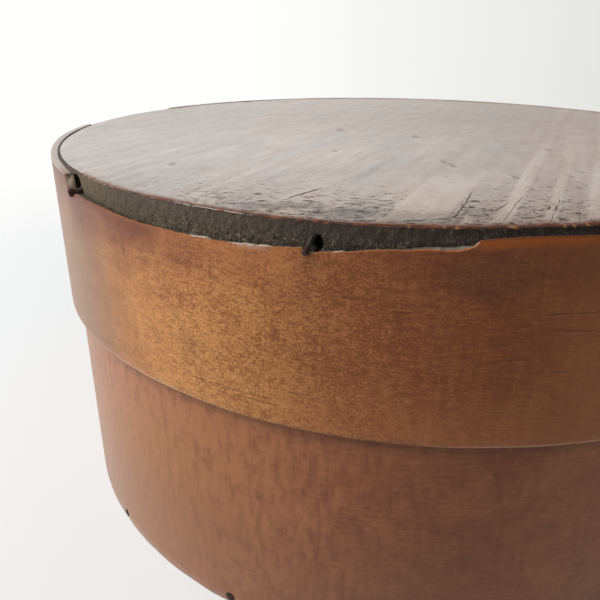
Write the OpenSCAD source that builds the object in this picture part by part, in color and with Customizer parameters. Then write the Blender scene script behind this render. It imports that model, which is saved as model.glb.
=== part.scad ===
// Round bentwood pantry box with a lift-off lid.
// Two bent hoops, each closed by a tapered lap, are nailed round two boards.
// Millimetres, +Z up, origin in the middle of the underside.
// Azimuths are in degrees from +X towards +Y, and the front is at -90.

/* [Box] */
// Height from the underside to the face of the lid board
box_h = 102; // [70:1:160]
// Thickness of the base board
base_board_t = 6.5; // [5:0.5:12]

/* [Lid] */
// Outside diameter of the lid hoop
lid_d = 216; // [160:2:300]
// Height of the lid hoop
lid_hoop_h = 42; // [28:1:60]
// Height of the whole rim above the face of the lid board
rim_proud = 0.5; // [0.2:0.1:1.5]
// Thickness of the lid board
lid_board_t = 7; // [6:0.5:12]
// Width of the worn arris round the face of the lid board
arris_w = 1; // [0.4:0.1:2]

/* [Hoops] */
// Thickness of the body hoop
body_hoop_t = 1.8; // [1.6:0.1:3]
// Thickness of the lid hoop
lid_hoop_t = 1.8; // [1.6:0.1:3]

/* [Laps] */
// Length of the body hoop's lap, round the outside
body_lap_len = 56; // [40:1:90]
// Azimuth of the middle of the body hoop's lap
body_lap_at = 50.5; // [20:0.5:80]
// Length of the lid hoop's lap, round the outside
lid_lap_len = 60; // [40:1:90]
// Azimuth of the middle of the lid hoop's lap
lid_lap_at = 55; // [20:0.5:80]
// Thickness of the tapered ends at their tips
lap_tip_t = 0.35; // [0.2:0.05:0.5]
// Gap between the two layers of a lap
lap_gap = 0.2; // [0.1:0.05:0.3]

/* [Brads] */
// Diameter of a brad's shank
brad_d = 1.4; // [1:0.1:2]
// Length of a brad under its head
brad_len = 16; // [10:1:24]
// Length of a brad's point
brad_point_len = 3; // [2:0.5:5]
// Diameter of a brad at its blunt tip
brad_tip_d = 0.4; // [0.2:0.1:0.8]
// Diameter of a brad's head
brad_head_d = 2.6; // [2.2:0.1:4]
// Thickness of a brad's head
brad_head_t = 0.7; // [0.4:0.1:1]
// How far a brad's head stands out of the hoop
brad_proud = 0.15; // [0:0.05:0.3]
// Number of brads in the base
base_brad_n = 15; // [8:1:20]
// Azimuth of the first base brad
base_brad_at = -117.5; // [-125:0.5:-110]
// Height of the base brads above the underside
base_brad_z = 2.4; // [2:0.1:4]
// Number of brads round the lid, the two bare ones included
lid_brad_n = 10; // [8:1:16]
// Azimuth of the first lid brad, the bare one at the front
lid_brad_at = -106.5; // [-112:0.5:-102]
// Depth of the lid brads below the face of the lid board
lid_brad_drop = 4.7; // [3.5:0.1:5]
// How far the two bare brads have worked out of the lid board
bare_brad_out = 0.6; // [0:0.1:1.5]

/* [Lap tacks] */
// Number of tacks in the body hoop's lap
body_tack_n = 4; // [2:1:6]
// Number of tacks in the lid hoop's lap
lid_tack_n = 3; // [2:1:4]
// Distance of the end tacks from the edges of a hoop
tack_margin = 10; // [8:1:13]
// Diameter of a tack's shank
tack_d = 1.6; // [1.2:0.1:2]
// Diameter of a tack's head
tack_head_d = 5; // [3:0.2:7]
// Thickness of a tack's head
tack_head_t = 0.5; // [0.4:0.05:0.6]
// How far a tack's head stands out of the hoop
tack_proud = 0.2; // [0.1:0.05:0.25]
// Length of a tack's clinched tail
clinch_len = 4; // [2:0.5:6]
// Thickness of a tack's clinched tail
clinch_t = 0.45; // [0.3:0.05:0.5]

/* [Broken rim] */
// Azimuth where the front break starts, at the left
break_from = -144.5; // [-150:0.5:-143.5]
// Azimuth where the floor of the front break starts to climb
break_mid = -110; // [-125:0.5:-100]
// Azimuth where the front break ends, at the right
break_to = -91.5; // [-96:0.5:-88]
// Depth of the front break below the face of the lid board, at the left end and in the middle
break_deep = 4.9; // [3:0.1:5.5]
// Depth of the front break below the face of the lid board, at the right end
break_shallow = 1.4; // [1:0.1:3]
// Azimuth where the worn stretch right of the break ends
worn_to = -64; // [-80:0.5:-50]
// Depth of the worn stretch below the face of the lid board
worn_drop = 0.2; // [0:0.1:0.8]
// Azimuth where the chip at the back left starts
back_chip_from = 148; // [140:0.5:155]
// Azimuth where the chip at the back left ends
back_chip_to = 175; // [165:0.5:178]
// Depth of the back left chip below the face of the lid board
back_chip_drop = 1.2; // [0.5:0.1:3]

/* [Fits] */
// Radial clearance between the lid hoop and the body hoop
lid_clear = 0.6; // [0.5:0.05:1.5]
// Radial gap between a board and its hoop
board_gap = 0.1; // [0.05:0.05:0.3]
// Radial clearance of a nail in its hole
nail_clear = 0.05; // [0.05:0.01:0.1]
// Depth of a clinched tail below the inner face of its hoop
clinch_sunk = 0.05; // [0.02:0.01:0.1]
// Room past the point of a brad in its hole
point_room = 0.5; // [0.2:0.1:1]

/* [Hidden] */

$fn = 96;

// Colours of the aged wood and iron
body_wood = "#8a5129";
lid_wood = "#9a5f2c";
base_wood = "#b98f5c";
top_wood = "#4b3027";
iron = "#2f2825";

// Radii, from the lid inwards
lid_ro = lid_d / 2;
lid_ri = lid_ro - lid_hoop_t;
body_ro = lid_ri - lid_clear;
body_ri = body_ro - body_hoop_t;
lid_board_r = lid_ri - board_gap;
base_board_r = body_ri - board_gap;

// Heights: the lid board rests on the body hoop's upper edge
lid_board_z = box_h - lid_board_t;
body_hoop_h = lid_board_z;
rim_z = box_h + rim_proud;
lid_hoop_z = rim_z - lid_hoop_h;
lid_brad_z = box_h - lid_brad_drop;

// Azimuths of the nails: the first two of the lid's brads are bare
base_brad_step = 360 / base_brad_n;
lid_brad_step = 360 / lid_brad_n;
bare_brad_n = 2;
base_brad_azimuths = [for (i = [0 : base_brad_n - 1]) base_brad_at + i * base_brad_step];
lid_brad_azimuths = [for (i = [0 : lid_brad_n - 1]) lid_brad_at - i * lid_brad_step];
bare_brad_azimuths = [for (i = [0 : bare_brad_n - 1]) lid_brad_azimuths[i]];
held_brad_azimuths = [for (i = [bare_brad_n : lid_brad_n - 1]) lid_brad_azimuths[i]];

// Heights of the lap tacks, evenly spread between the end margins
function tack_heights(low, high, count) =
    [for (i = [0 : count - 1])
        low + tack_margin + i * (high - low - 2 * tack_margin) / (count - 1)];
body_tack_heights = tack_heights(0, body_hoop_h, body_tack_n);
lid_tack_heights = tack_heights(lid_hoop_z, rim_z, lid_tack_n);

// Depth of a nail's seat, the underside of its head, below the outer face of its hoop
brad_sunk = brad_head_t - brad_proud;
tack_sunk = tack_head_t - tack_proud;

// Distance from a tack's seat to its clinched tail
function tack_tail_z(hoop_t) = hoop_t - tack_sunk - clinch_sunk - clinch_t;

// Cutters reach this far past the faces that they cut
overcut = 2;
// The cutters of a lap span this many times its length
lap_reach = 1.5;

// Nails: each is drawn from its seat, the underside of its head, with +Z going inwards

module brad() {
    translate([0, 0, -brad_head_t]) cylinder(d = brad_head_d, h = brad_head_t);
    cylinder(d = brad_d, h = brad_len - brad_point_len);
    translate([0, 0, brad_len - brad_point_len])
        cylinder(d1 = brad_d, d2 = brad_tip_d, h = brad_point_len);
}

module brad_hole() {
    translate([0, 0, -brad_head_t - overcut])
        cylinder(d = brad_head_d + 2 * nail_clear, h = brad_head_t + overcut);
    cylinder(d = brad_d + 2 * nail_clear, h = brad_len + point_room);
}

// The tail of a tack lies up the inner face, across the grain, let in flush
module tack(hoop_t) {
    tail_z = tack_tail_z(hoop_t);
    translate([0, 0, -tack_head_t]) cylinder(d = tack_head_d, h = tack_head_t);
    cylinder(d = tack_d, h = tail_z + clinch_t);
    translate([0, -tack_d / 2, tail_z]) cube([clinch_len, tack_d, clinch_t]);
}

module tack_hole(hoop_t) {
    width = tack_d + 2 * nail_clear;
    translate([0, 0, -tack_head_t - overcut])
        cylinder(d = tack_head_d + 2 * nail_clear, h = tack_head_t + overcut);
    cylinder(d = width, h = hoop_t + overcut);
    translate([0, -width / 2, tack_tail_z(hoop_t)])
        cube([clinch_len + nail_clear, width, hoop_t + overcut]);
}

// Turns a nail so that it is driven inwards from radius r at height z
module driven_at(azimuth, r, z)
    rotate([0, 0, azimuth]) translate([r, 0, z]) rotate([0, -90, 0]) children();

module at_brads(azimuths, hoop_r, z, out = 0)
    for (a = azimuths)
        driven_at(a, hoop_r - brad_sunk + out, z) children();

module at_tacks(azimuth, hoop_r, heights)
    for (z = heights) driven_at(azimuth, hoop_r - tack_sunk, z) children();

// Hoops: a bent strip whose tapered ends overlap

module wedge(from, to, r)
    polygon([[0, 0], 2 * r * [cos(from), sin(from)], 2 * r * [cos(to), sin(to)]]);

// A lap is parted along an arc of the hoop's middle radius whose centre is set off sideways, so that
// the parting runs from the outer face to the inner one. Each tip is then cut off square.
module hoop_plan(ro, hoop_t, lap_len, lap_at) {
    rm = ro - hoop_t / 2;
    half_lap = lap_len / (2 * ro) * 180 / PI;
    half_cut = lap_reach * half_lap;
    set_off = hoop_t / 2 / sin(half_lap);
    tip_at = asin((hoop_t / 2 - lap_gap / 2 - lap_tip_t) / set_off);

    module parting_disc(r)
        translate(set_off * [sin(lap_at), -cos(lap_at)]) circle(r = r);

    difference() {
        circle(r = ro);
        circle(r = ro - hoop_t);
        intersection() {
            difference() {
                parting_disc(rm + lap_gap / 2);
                parting_disc(rm - lap_gap / 2);
            }
            wedge(lap_at - half_cut, lap_at + half_cut, ro);
        }
        difference() {
            wedge(lap_at - half_cut, lap_at - tip_at, ro);
            parting_disc(rm);
        }
        intersection() {
            wedge(lap_at + tip_at, lap_at + half_cut, ro);
            parting_disc(rm);
        }
    }
}

// Takes the rim off between two azimuths, down to a plane that passes at z_from and z_to over them
module rim_break(from, to, z_from, z_to) {
    mid = (from + to) / 2;
    half_chord = lid_ro * sin((to - from) / 2);
    slope = atan2(z_to - z_from, 2 * half_chord);
    z_mid = (z_from + z_to) / 2;
    intersection() {
        translate([0, 0, z_mid - lid_hoop_h / 2]) linear_extrude(lid_hoop_h)
            wedge(from, to, lid_ro);
        rotate([0, 0, mid]) translate([0, 0, z_mid]) rotate([slope, 0, 0])
            translate([0, -lid_d, 0]) cube([lid_d, 2 * lid_d, lid_d]);
    }
}

// Sub-parts

module body_hoop()
    color(body_wood) difference() {
        linear_extrude(body_hoop_h) hoop_plan(body_ro, body_hoop_t, body_lap_len, body_lap_at);
        at_brads(base_brad_azimuths, body_ro, base_brad_z) brad_hole();
        at_tacks(body_lap_at, body_ro, body_tack_heights) tack_hole(body_hoop_t);
    }

module base_board()
    color(base_wood) difference() {
        cylinder(r = base_board_r, h = base_board_t);
        at_brads(base_brad_azimuths, body_ro, base_brad_z) brad_hole();
    }

module base_brads()
    color(iron) at_brads(base_brad_azimuths, body_ro, base_brad_z) brad();

module body_lap_tacks()
    color(iron) at_tacks(body_lap_at, body_ro, body_tack_heights) tack(body_hoop_t);

module lid_hoop()
    color(lid_wood) difference() {
        translate([0, 0, lid_hoop_z]) linear_extrude(lid_hoop_h)
            hoop_plan(lid_ro, lid_hoop_t, lid_lap_len, lid_lap_at);
        rim_break(break_from, break_mid, box_h - break_deep, box_h - break_deep);
        rim_break(break_mid, break_to, box_h - break_deep, box_h - break_shallow);
        rim_break(break_to, worn_to, box_h - worn_drop, box_h - worn_drop);
        rim_break(back_chip_from, back_chip_to, box_h - back_chip_drop, box_h - back_chip_drop);
        at_brads(lid_brad_azimuths, lid_ro, lid_brad_z) brad_hole();
        at_tacks(lid_lap_at, lid_ro, lid_tack_heights) tack_hole(lid_hoop_t);
    }

module lid_board()
    color(top_wood) difference() {
        translate([0, 0, lid_board_z]) union() {
            cylinder(r = lid_board_r, h = lid_board_t - arris_w);
            translate([0, 0, lid_board_t - arris_w])
                cylinder(r1 = lid_board_r, r2 = lid_board_r - arris_w, h = arris_w);
        }
        at_brads(lid_brad_azimuths, lid_ro, lid_brad_z) brad_hole();
    }

module lid_brads()
    color(iron) at_brads(held_brad_azimuths, lid_ro, lid_brad_z) brad();

module bare_brads()
    color(iron) at_brads(bare_brad_azimuths, lid_ro, lid_brad_z, bare_brad_out) brad();

module lid_lap_tacks()
    color(iron) at_tacks(lid_lap_at, lid_ro, lid_tack_heights) tack(lid_hoop_t);

body_hoop();
base_board();
base_brads();
body_lap_tacks();
lid_hoop();
lid_board();
lid_brads();
bare_brads();
lid_lap_tacks();
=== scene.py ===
# %% [markdown]
# # A worn bentwood pantry box
# A box of this kind is two thin strips of wood, steamed, bent round and closed with a lap. Each strip
# is nailed round a flat board: one is the base, the other is the lid. This lesson loads the built model
# as a fixed frame and gives every piece its worn shape and its finish, in the same place and size.

# %% Load the built model
import math

import bpy
import numpy as np
from mathutils import Matrix, Vector


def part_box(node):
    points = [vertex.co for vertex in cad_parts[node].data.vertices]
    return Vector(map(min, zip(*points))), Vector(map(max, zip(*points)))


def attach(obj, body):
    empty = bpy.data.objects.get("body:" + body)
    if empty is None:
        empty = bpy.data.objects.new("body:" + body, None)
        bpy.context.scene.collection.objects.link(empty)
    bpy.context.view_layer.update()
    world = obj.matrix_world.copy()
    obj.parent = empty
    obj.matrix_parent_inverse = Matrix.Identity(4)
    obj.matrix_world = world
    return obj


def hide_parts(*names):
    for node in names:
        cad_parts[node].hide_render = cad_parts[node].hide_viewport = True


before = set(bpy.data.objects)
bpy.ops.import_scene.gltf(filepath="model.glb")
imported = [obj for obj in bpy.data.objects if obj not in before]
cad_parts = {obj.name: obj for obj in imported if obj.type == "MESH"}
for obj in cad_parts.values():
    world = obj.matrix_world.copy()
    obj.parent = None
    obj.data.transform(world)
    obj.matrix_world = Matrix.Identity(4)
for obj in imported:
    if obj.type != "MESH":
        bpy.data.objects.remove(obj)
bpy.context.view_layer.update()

# %% [markdown]
# ## Sizes
# Every piece is round, so three numbers place it: its outer radius, its lowest and its highest point.
# They are read from the frame, in millimetres, because wood is measured that way on a bench. Only the
# mesh itself is written in metres.

# %% Read the sizes
MM = 0.001


def round_size(node):
    """Outer radius, lowest and highest point of a round node, in millimetres."""
    low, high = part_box(node)
    return (high.x - low.x) / 2 / MM, low.z / MM, high.z / MM


lid_r, lid_low, lid_rim = round_size("lid_hoop")
body_r, body_low, body_rim = round_size("body_hoop")
top_r, top_low, top_face = round_size("lid_board")
base_r, base_low, base_face = round_size("base_board")

HOOP_T = 1.8
FRONT = 270.0   # azimuth of the front, in degrees
print(f"lid {2 * lid_r:.1f} mm across, face of the lid board at {top_face:.1f} mm")

# %% [markdown]
# ## Smooth random heights
# Worn wood is never quite even. A lattice of random numbers, blended smoothly between its points, gives
# the same gentle unevenness on every run, for thousands of points at once.

# %% A smooth random field
LATTICE = 256


def uneven(across, along, seed):
    """Smooth random heights between -1 and 1 at points given in lattice steps."""
    lattice = np.random.default_rng(seed).uniform(-1, 1, (LATTICE, LATTICE))
    across, along = np.broadcast_arrays(across, along)
    i = np.floor(across).astype(int)
    j = np.floor(along).astype(int)
    u = across - i
    v = along - j
    u = u * u * (3 - 2 * u)
    v = v * v * (3 - 2 * v)
    i0, i1 = i % LATTICE, (i + 1) % LATTICE
    j0, j1 = j % LATTICE, (j + 1) % LATTICE
    near = lattice[i0, j0] * (1 - u) + lattice[i1, j0] * u
    far = lattice[i0, j1] * (1 - u) + lattice[i1, j1] * u
    return near * (1 - v) + far * v


def smooth_step(value, low, high):
    """0 below low, 1 above high, and a soft rise between; low may be the larger one."""
    t = np.clip((value - low) / (high - low), 0, 1)
    return t * t * (3 - 2 * t)


print("random field ready")

# %% [markdown]
# ## Node sums in plain Python
# A finish is a long sum of noises and masks. Writing it as an expression keeps it readable: a small
# class wraps a socket, and its operators add Math nodes. All other nodes come from one method.

# %% Wires
class Wire:
    """One output socket; arithmetic on it adds Math nodes to its tree."""

    def __init__(self, graph, socket):
        self.graph = graph
        self.socket = socket

    def sum_of(self, operation, first, second=0.0):
        return self.graph.node("ShaderNodeMath", {"operation": operation}, {0: first, 1: second})

    def __add__(self, other):
        return self.sum_of("ADD", self, other)

    def __radd__(self, other):
        return self.sum_of("ADD", other, self)

    def __sub__(self, other):
        return self.sum_of("SUBTRACT", self, other)

    def __rsub__(self, other):
        return self.sum_of("SUBTRACT", other, self)

    def __mul__(self, other):
        return self.sum_of("MULTIPLY", self, other)

    def __rmul__(self, other):
        return self.sum_of("MULTIPLY", other, self)

    def __abs__(self):
        return self.sum_of("ABSOLUTE", self)

    def __or__(self, other):
        return self.sum_of("MAXIMUM", self, other)

    def cosine(self):
        return self.sum_of("COSINE", self)

    def sine(self):
        return self.sum_of("SINE", self)


print("wires can be added, multiplied and compared")

# %% The node writer
class Graph:
    """A node tree that is written as expressions."""

    def __init__(self, tree):
        self.tree = tree
        tree.nodes.clear()

    def node(self, kind, settings=None, sockets=None, out=0):
        made = self.tree.nodes.new(kind)
        for name, value in (settings or {}).items():
            if name == "points":
                self.bend(made.mapping, value)
            else:
                setattr(made, name, value)
        for name, value in (sockets or {}).items():
            if isinstance(value, Wire):
                self.tree.links.new(value.socket, made.inputs[name])
            else:
                made.inputs[name].default_value = value
        return Wire(self, made.outputs[out])

    def bend(self, mapping, values):
        """Sets a curve to straight pieces through evenly spread values."""
        curve = mapping.curves[0]
        last = len(values) - 1
        curve.points[0].location = (0.0, values[0])
        curve.points[1].location = (1.0, values[last])
        for index in range(1, last):
            curve.points.new(index / last, values[index])
        for point in curve.points:
            point.handle_type = "VECTOR"
        mapping.update()

    def outputs(self, wire):
        """All outputs of the node that a wire comes from."""
        return [Wire(self, socket) for socket in wire.socket.node.outputs]

    def split(self, vector):
        return self.outputs(self.node("ShaderNodeSeparateXYZ", {}, {0: vector}))

    def join(self, x, y, z):
        return self.node("ShaderNodeCombineXYZ", {}, {0: x, 1: y, 2: z})

    def mix(self, factor, first, second):
        """A colour between two others, each of them three numbers or a wire."""
        first = first if isinstance(first, Wire) else (*first, 1.0)
        second = second if isinstance(second, Wire) else (*second, 1.0)
        return self.node("ShaderNodeMix", {"data_type": "RGBA"}, {0: factor, 6: first, 7: second}, 2)

    def close(self, kind, shader):
        """Joins a shader to the output node of its tree."""
        self.tree.links.new(shader.socket, self.tree.nodes.new(kind).inputs["Surface"])


print("node writer ready")

# %% [markdown]
# ## What the finishes share
# A finish is laid on in coats: a ground colour, then one colour after another through masks. So a
# material needs a few more words: noise along stretched axes, soft steps, lines and spots, a coat, and
# the closing shader. Hoops read the mark strip_mm on their points: millimetres along the strip from the
# front, height, and radius. On a bent strip the grain then runs round the bend, as it does in the wood.

# %% The paint words
class Paint(Graph):
    """A material whose pattern is written as expressions, coat upon coat."""

    def __init__(self, name):
        self.material = bpy.data.materials.new(name)
        self.material.use_nodes = True
        super().__init__(self.material.node_tree)

    def mark(self, name):
        """The three values of a mark on the piece's points."""
        settings = {"attribute_name": name}
        return self.split(self.node("ShaderNodeAttribute", settings, {}, "Vector"))

    def place(self):
        """Object coordinates, in millimetres."""
        metres = self.split(self.node("ShaderNodeTexCoord", {}, {}, "Object"))
        return [axis * (1 / MM) for axis in metres]

    def from_axis(self, x, y):
        """Distance from the upright axis of the box."""
        sockets = {0: self.join(x, y, 0.0)}
        return self.node("ShaderNodeVectorMath", {"operation": "LENGTH"}, sockets, "Value")

    def noise(self, x, y, z=0.0, detail=2.0, roughness=0.5, warp=0.0):
        sockets = {"Vector": self.join(x, y, z), "Scale": 1.0, "Detail": detail,
                   "Roughness": roughness, "Distortion": warp}
        return self.node("ShaderNodeTexNoise", {}, sockets, "Fac")

    def step(self, value, low, high):
        """0 at low, 1 at high, and a soft rise between; low may be the larger one."""
        sockets = {"Value": value, "From Min": low, "From Max": high}
        return self.node("ShaderNodeMapRange", {"interpolation_type": "SMOOTHSTEP"}, sockets)

    def span(self, value, rise, fall):
        """A mask that rises over one pair of values and falls again over another."""
        return self.step(value, *rise) * self.step(value, *fall)

    def hairline(self, x, y, start, end, width, wobble):
        """A mask for a thin crack from one point to another, x being the longer way."""
        share = (x - start[0]) * (1 / (end[0] - start[0]))
        line = share * (end[1] - start[1]) + start[1]
        near = self.step(abs(y - line - wobble), width, width * 0.3)
        return near * self.span(share, (0.0, 0.12), (1.0, 0.88))

    def spots(self, x, y, places, rough, rim, core):
        """A mask for rough oval spots: each a place, two half sizes and, if it is faint, a strength."""
        mask = 0.0
        for spot_x, spot_y, half_x, half_y, *strength in places:
            sideways = (x - spot_x) * (1 / half_x)
            ahead = (y - spot_y) * (1 / half_y)
            spot = self.step(sideways * sideways + ahead * ahead + rough, rim, core)
            for share in strength:
                spot = spot * share
            mask = spot | mask
        return mask

    def ground(self, tone, dark, light):
        """The first coat, from dark to light as the tone rises."""
        self.colour = self.mix(tone, dark, light)

    def lay(self, mask, over):
        """Another colour over the coats so far, as thick as the mask says."""
        self.colour = self.mix(mask, self.colour, over)

    def finish(self, roughness, height=None, depth=0.0, **constants):
        """Closes the material; height is a pattern and depth its size in millimetres."""
        sockets = {"Base Color": self.colour, "Roughness": roughness}
        if height is not None:
            relief = {"Strength": 1.0, "Distance": depth * MM, "Height": height}
            sockets["Normal"] = self.node("ShaderNodeBump", {}, relief)
        for name, value in constants.items():
            sockets[name.replace("_", " ").title().replace("Ior", "IOR")] = value
        self.close("ShaderNodeOutputMaterial", self.node("ShaderNodeBsdfPrincipled", {}, sockets))
        return self.material


print("paint words ready")

# %% [markdown]
# ## The lid's varnished strip
# The lid's strip is maple-like wood under old shellac. Its figure is a fine mottle of gold and brown
# where the grain dips in and out of the face, and it turns to plain straight grain further right. The
# varnish has kept its red away from the light. Dirt has crept in under the broken edge. Light and shade
# are painted in too: dirt and painted shade darken the rim, a painted highlight and a painted shadow line
# run along the lower edge, painted light brightens the strip near the lower edge and at the right, and
# a painted grey sheen lies at the far left. A few hairline cracks follow the grain. A picture could be
# wrapped round it, but noises in millimetres stay sharp at any distance, and single stains and cracks
# can be put in place.

# %% Colours and marks of the lid hoop
LID_GOLD = (0.615, 0.280, 0.085)
LID_COPPER = (0.560, 0.218, 0.078)
LID_BROWN = (0.262, 0.088, 0.028)
LID_RED = (0.180, 0.046, 0.017)
LID_SIENNA = (0.295, 0.103, 0.034)
LID_OLIVE = (0.180, 0.074, 0.027)
LID_TAWNY = (0.340, 0.125, 0.048)
LID_STAIN_AND_SHADOW = (0.070, 0.028, 0.019)
LID_EDGE_HIGHLIGHT = (0.560, 0.350, 0.200)
LID_DIRT_AND_SHADE = (0.140, 0.038, 0.018)
LID_WORN_RIM = (0.370, 0.100, 0.018)
LID_DUSTY = (0.600, 0.500, 0.430)
LID_SHEEN_GREY = (0.240, 0.150, 0.088)
# dirt, and painted shade in grooves and under the lid's edge
DIRT_AND_SHADE = (0.050, 0.034, 0.026)
OLD_SHELLAC = {"specular_ior_level": 0.14, "sheen_roughness": 0.35}
LID_CRACKS = [((-57.5, 66.0), (-36.5, 66.0)), ((-47.0, 65.0), (-37.0, 64.8)),
              ((-35.0, 68.2), (-29.5, 68.8)), ((-25.0, 89.8), (-21.0, 89.8)),
              ((-16.0, 88.1), (-12.5, 88.0)), ((9.0, 88.3), (22.0, 88.5)),
              ((12.0, 85.3), (21.0, 84.8)), ((1.0, 82.6), (4.5, 82.5)),
              ((4.0, 79.6), (8.0, 79.5)), ((13.0, 76.9), (17.0, 76.8))]
LID_STAINS = [(0.5, 95.2, 7.5, 4.2, 0.46), (1.4, 94.2, 0.35, 1.9, 0.34), (-57.0, 73.2, 4.0, 2.6, 0.18),
              (-70.0, 89.2, 3.2, 0.45, 0.38), (-75.4, 90.0, 0.45, 3.2, 0.38), (-49.8, 89.3, 0.8, 0.6, 0.38),
              (-30.6, 95.4, 2.2, 1.6, 0.28), (21.0, 99.8, 1.6, 0.5, 0.38), (-61.0, 91.4, 12.0, 0.9, 0.20)]
print("the lid hoop has", len(LID_CRACKS), "cracks and", len(LID_STAINS), "stains")

# %% Wood of the lid hoop, with painted light and sheen
def lid_figure(paint, arc, height, figured):
    """Light and dark of the lid's grain: a mottle where it is figured, dashes and streaks elsewhere."""
    cells = paint.step(paint.noise(arc * 1.60, height * 2.10, 5.0, 2.0, 0.65), 0.28, 0.72)
    clumps = paint.noise(arc * 0.52, height * 0.82, 9.0, 3.0, 0.6)
    curl = paint.noise(arc * 0.60, height * 0.08, 8.0, 3.0, 0.6)
    fibre = paint.noise(arc * 0.22, height * 2.3, 17.0, 3.0, 0.65)
    pores = paint.step(paint.noise(arc * 0.60, height * 3.2, 12.0, 2.0, 0.6), 0.58, 0.70)
    patchy = 0.5 + clumps
    grain = (cells - 0.5) * (0.26 + figured * 0.50) * patchy + (clumps - 0.5) * (0.9 + figured * 0.65)
    grain = grain + (curl - 0.5) * (1.1 - figured * 0.6) + (fibre - 0.5) * (1.3 - figured * 0.6)
    calm = 1.0 - paint.step(arc, -52.0, -78.0) * 0.6
    return (grain - pores * 0.28) * calm, cells, pores


def lid_wood(paint, place, edge, patch, tone):
    """The wood's colours: gold and copper at the left, red and tawny further right; with painted light near
    the lower edge and at the right, and a painted grey sheen at the far left.
    """
    arc = place[0]
    low, rim, _ = edge
    faded_and_lit = paint.step(arc, 8.0, -62.0) * 0.42 + 0.14 - paint.step(arc, -66.0, -96.0) * 0.36
    # painted light: lighter near the lower edge in the middle
    faded_and_lit = faded_and_lit + paint.step(low, 16.0, 3.0) * paint.step(arc, -56.0, -26.0) * 0.14
    faded_and_lit = faded_and_lit + paint.step(abs(arc + 41.0), 12.0, 4.0) * paint.step(rim, 14.0, 5.0) * 0.18
    coppery = paint.step(rim + (patch - 0.5) * 16.0, 15.0, 3.0) * 0.85
    lights = paint.mix(coppery | paint.step(arc, -42.0, -22.0), LID_GOLD, LID_COPPER)
    paint.ground(paint.step(tone + faded_and_lit, -0.1, 1.0), LID_BROWN, lights)
    behind = paint.step(arc, -140.0, -260.0)
    plain = paint.mix(paint.step(tone, -0.42, 0.46), LID_RED, LID_SIENNA)
    plain = paint.mix(paint.step(patch, 0.46, 0.62) * 0.3, plain, LID_OLIVE)
    # painted light: lighter tawny near the lower edge and at the right; at the back tawny is the wood's own
    # colour
    painted_low_light = paint.step(low + (patch - 0.5) * 10.0, 16.0, 2.0) * 0.65
    plain = paint.mix(painted_low_light | (paint.step(arc, 6.0, 24.0) | behind) * 0.8, plain, LID_TAWNY)
    paint.lay((paint.step(arc, -58.0, 6.0) | behind) * 0.75, plain)
    # painted sheen: greyer at the far left, where the face turns away
    paint.lay(paint.step(arc, -72.0, -100.0) * (1.0 - behind) * 0.6, LID_SHEEN_GREY)


print("lid wood ready")

# %% Dirt, wear and painted light and shade of the lid hoop
def lid_dirt_and_shade(paint, place, edge, patch, cells):
    """Dirt and painted shade near the rim, dirt under the break, stains and cracks; gives back the mask of
    the cracks.
    """
    arc, height, _ = place
    _, rim, broken = edge
    # dirt from hands and painted shade: darker near the rim, most at the upper left and upper right
    handled_and_shaded = 0.17 + paint.step(arc, -50.0, -72.0) * 0.56 + paint.step(arc, -26.0, -6.0) * 0.24
    handled_and_shaded = handled_and_shaded * paint.step(rim + (patch - 0.5) * 16.0, 15.0, 0.0)
    under_break = paint.step(rim + (patch - 0.5) * 7.0, 6.0, 0.0) * broken * 0.12
    paint.lay(handled_and_shaded + under_break, LID_DIRT_AND_SHADE)
    rough = (patch - 0.5) * 2.5 + (cells - 0.5) * 0.8
    paint.lay(paint.spots(arc, height, LID_STAINS, rough, 1.9, -0.4), LID_STAIN_AND_SHADOW)
    wobble = (paint.noise(arc * 0.25, 2.0) - 0.5) * 0.9
    crack = paint.step(paint.noise(arc * 0.5, height * 3.6, 14.0, 1.0), 0.70, 0.80) * 0.5
    for start, end in LID_CRACKS:
        crack = crack | paint.hairline(arc, height, start, end, 0.14, wobble) * 0.7
    paint.lay(crack, LID_STAIN_AND_SHADOW)
    return crack


def lid_edge_wear_and_light(paint, place, edge, patch, cells):
    """The torn break, a painted highlight and a painted shadow line along the lower edge, and the rim where
    it is worn level or still whole, with painted shade along its top and inner half.
    """
    arc, _, radius = place
    low, rim, broken = edge
    torn = paint.step(rim + (cells - 0.5) * 1.2, 0.9, 0.3) * broken
    torn = torn * paint.step(abs(arc + 41.5) + (patch - 0.5) * 6.0, 4.2, 2.4)
    paint.lay(torn * 0.32, LID_DUSTY)
    # painted highlight: the lower edge made pale where it catches the light, at the left and at the right
    lit_lower_edge = paint.step(arc, -52.0, -66.0) + paint.step(arc, -14.0, 4.0)
    paint.lay(paint.step(low, 0.7, 0.15) * lit_lower_edge * 0.52, LID_EDGE_HIGHLIGHT)
    # painted shadow: a dark line along the lower edge between the pale parts
    paint.lay(paint.step(low, 0.6, 0.1) * (1.0 - lit_lower_edge) * 0.6, LID_STAIN_AND_SHADOW)
    worn_level = paint.span(arc, (-3.0, -1.5), (60.0, 48.0))
    ragged = rim + (patch - 0.5) * 3.0 + (cells - 0.5) * 0.9
    paint.lay(paint.step(ragged, 2.4, 0.9) * worn_level * 0.8, LID_WORN_RIM)
    # painted shade: a dark line along the top of the worn-level rim, where it meets the board
    paint.lay(paint.step(rim, 0.4, 0.1) * worn_level * 0.6, LID_DIRT_AND_SHADE)
    # painted shade: the inner half of the rim's top darkened beside the groove
    inner_half = paint.step(radius, lid_r - 1.2, lid_r - 1.6)
    inner_half = inner_half | paint.step(radius, lid_r - 0.45, lid_r - 0.8) * worn_level
    paint.lay(inner_half * paint.step(rim, 3.0, 2.5) * 0.95, DIRT_AND_SHADE)
    whole_rim = paint.step(abs(arc), 98.0, 114.0) * paint.step(rim, 0.35, 0.15)
    paint.lay(whole_rim * 0.8, LID_DUSTY)


print("lid dirt, wear and painted light and shade ready")

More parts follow.
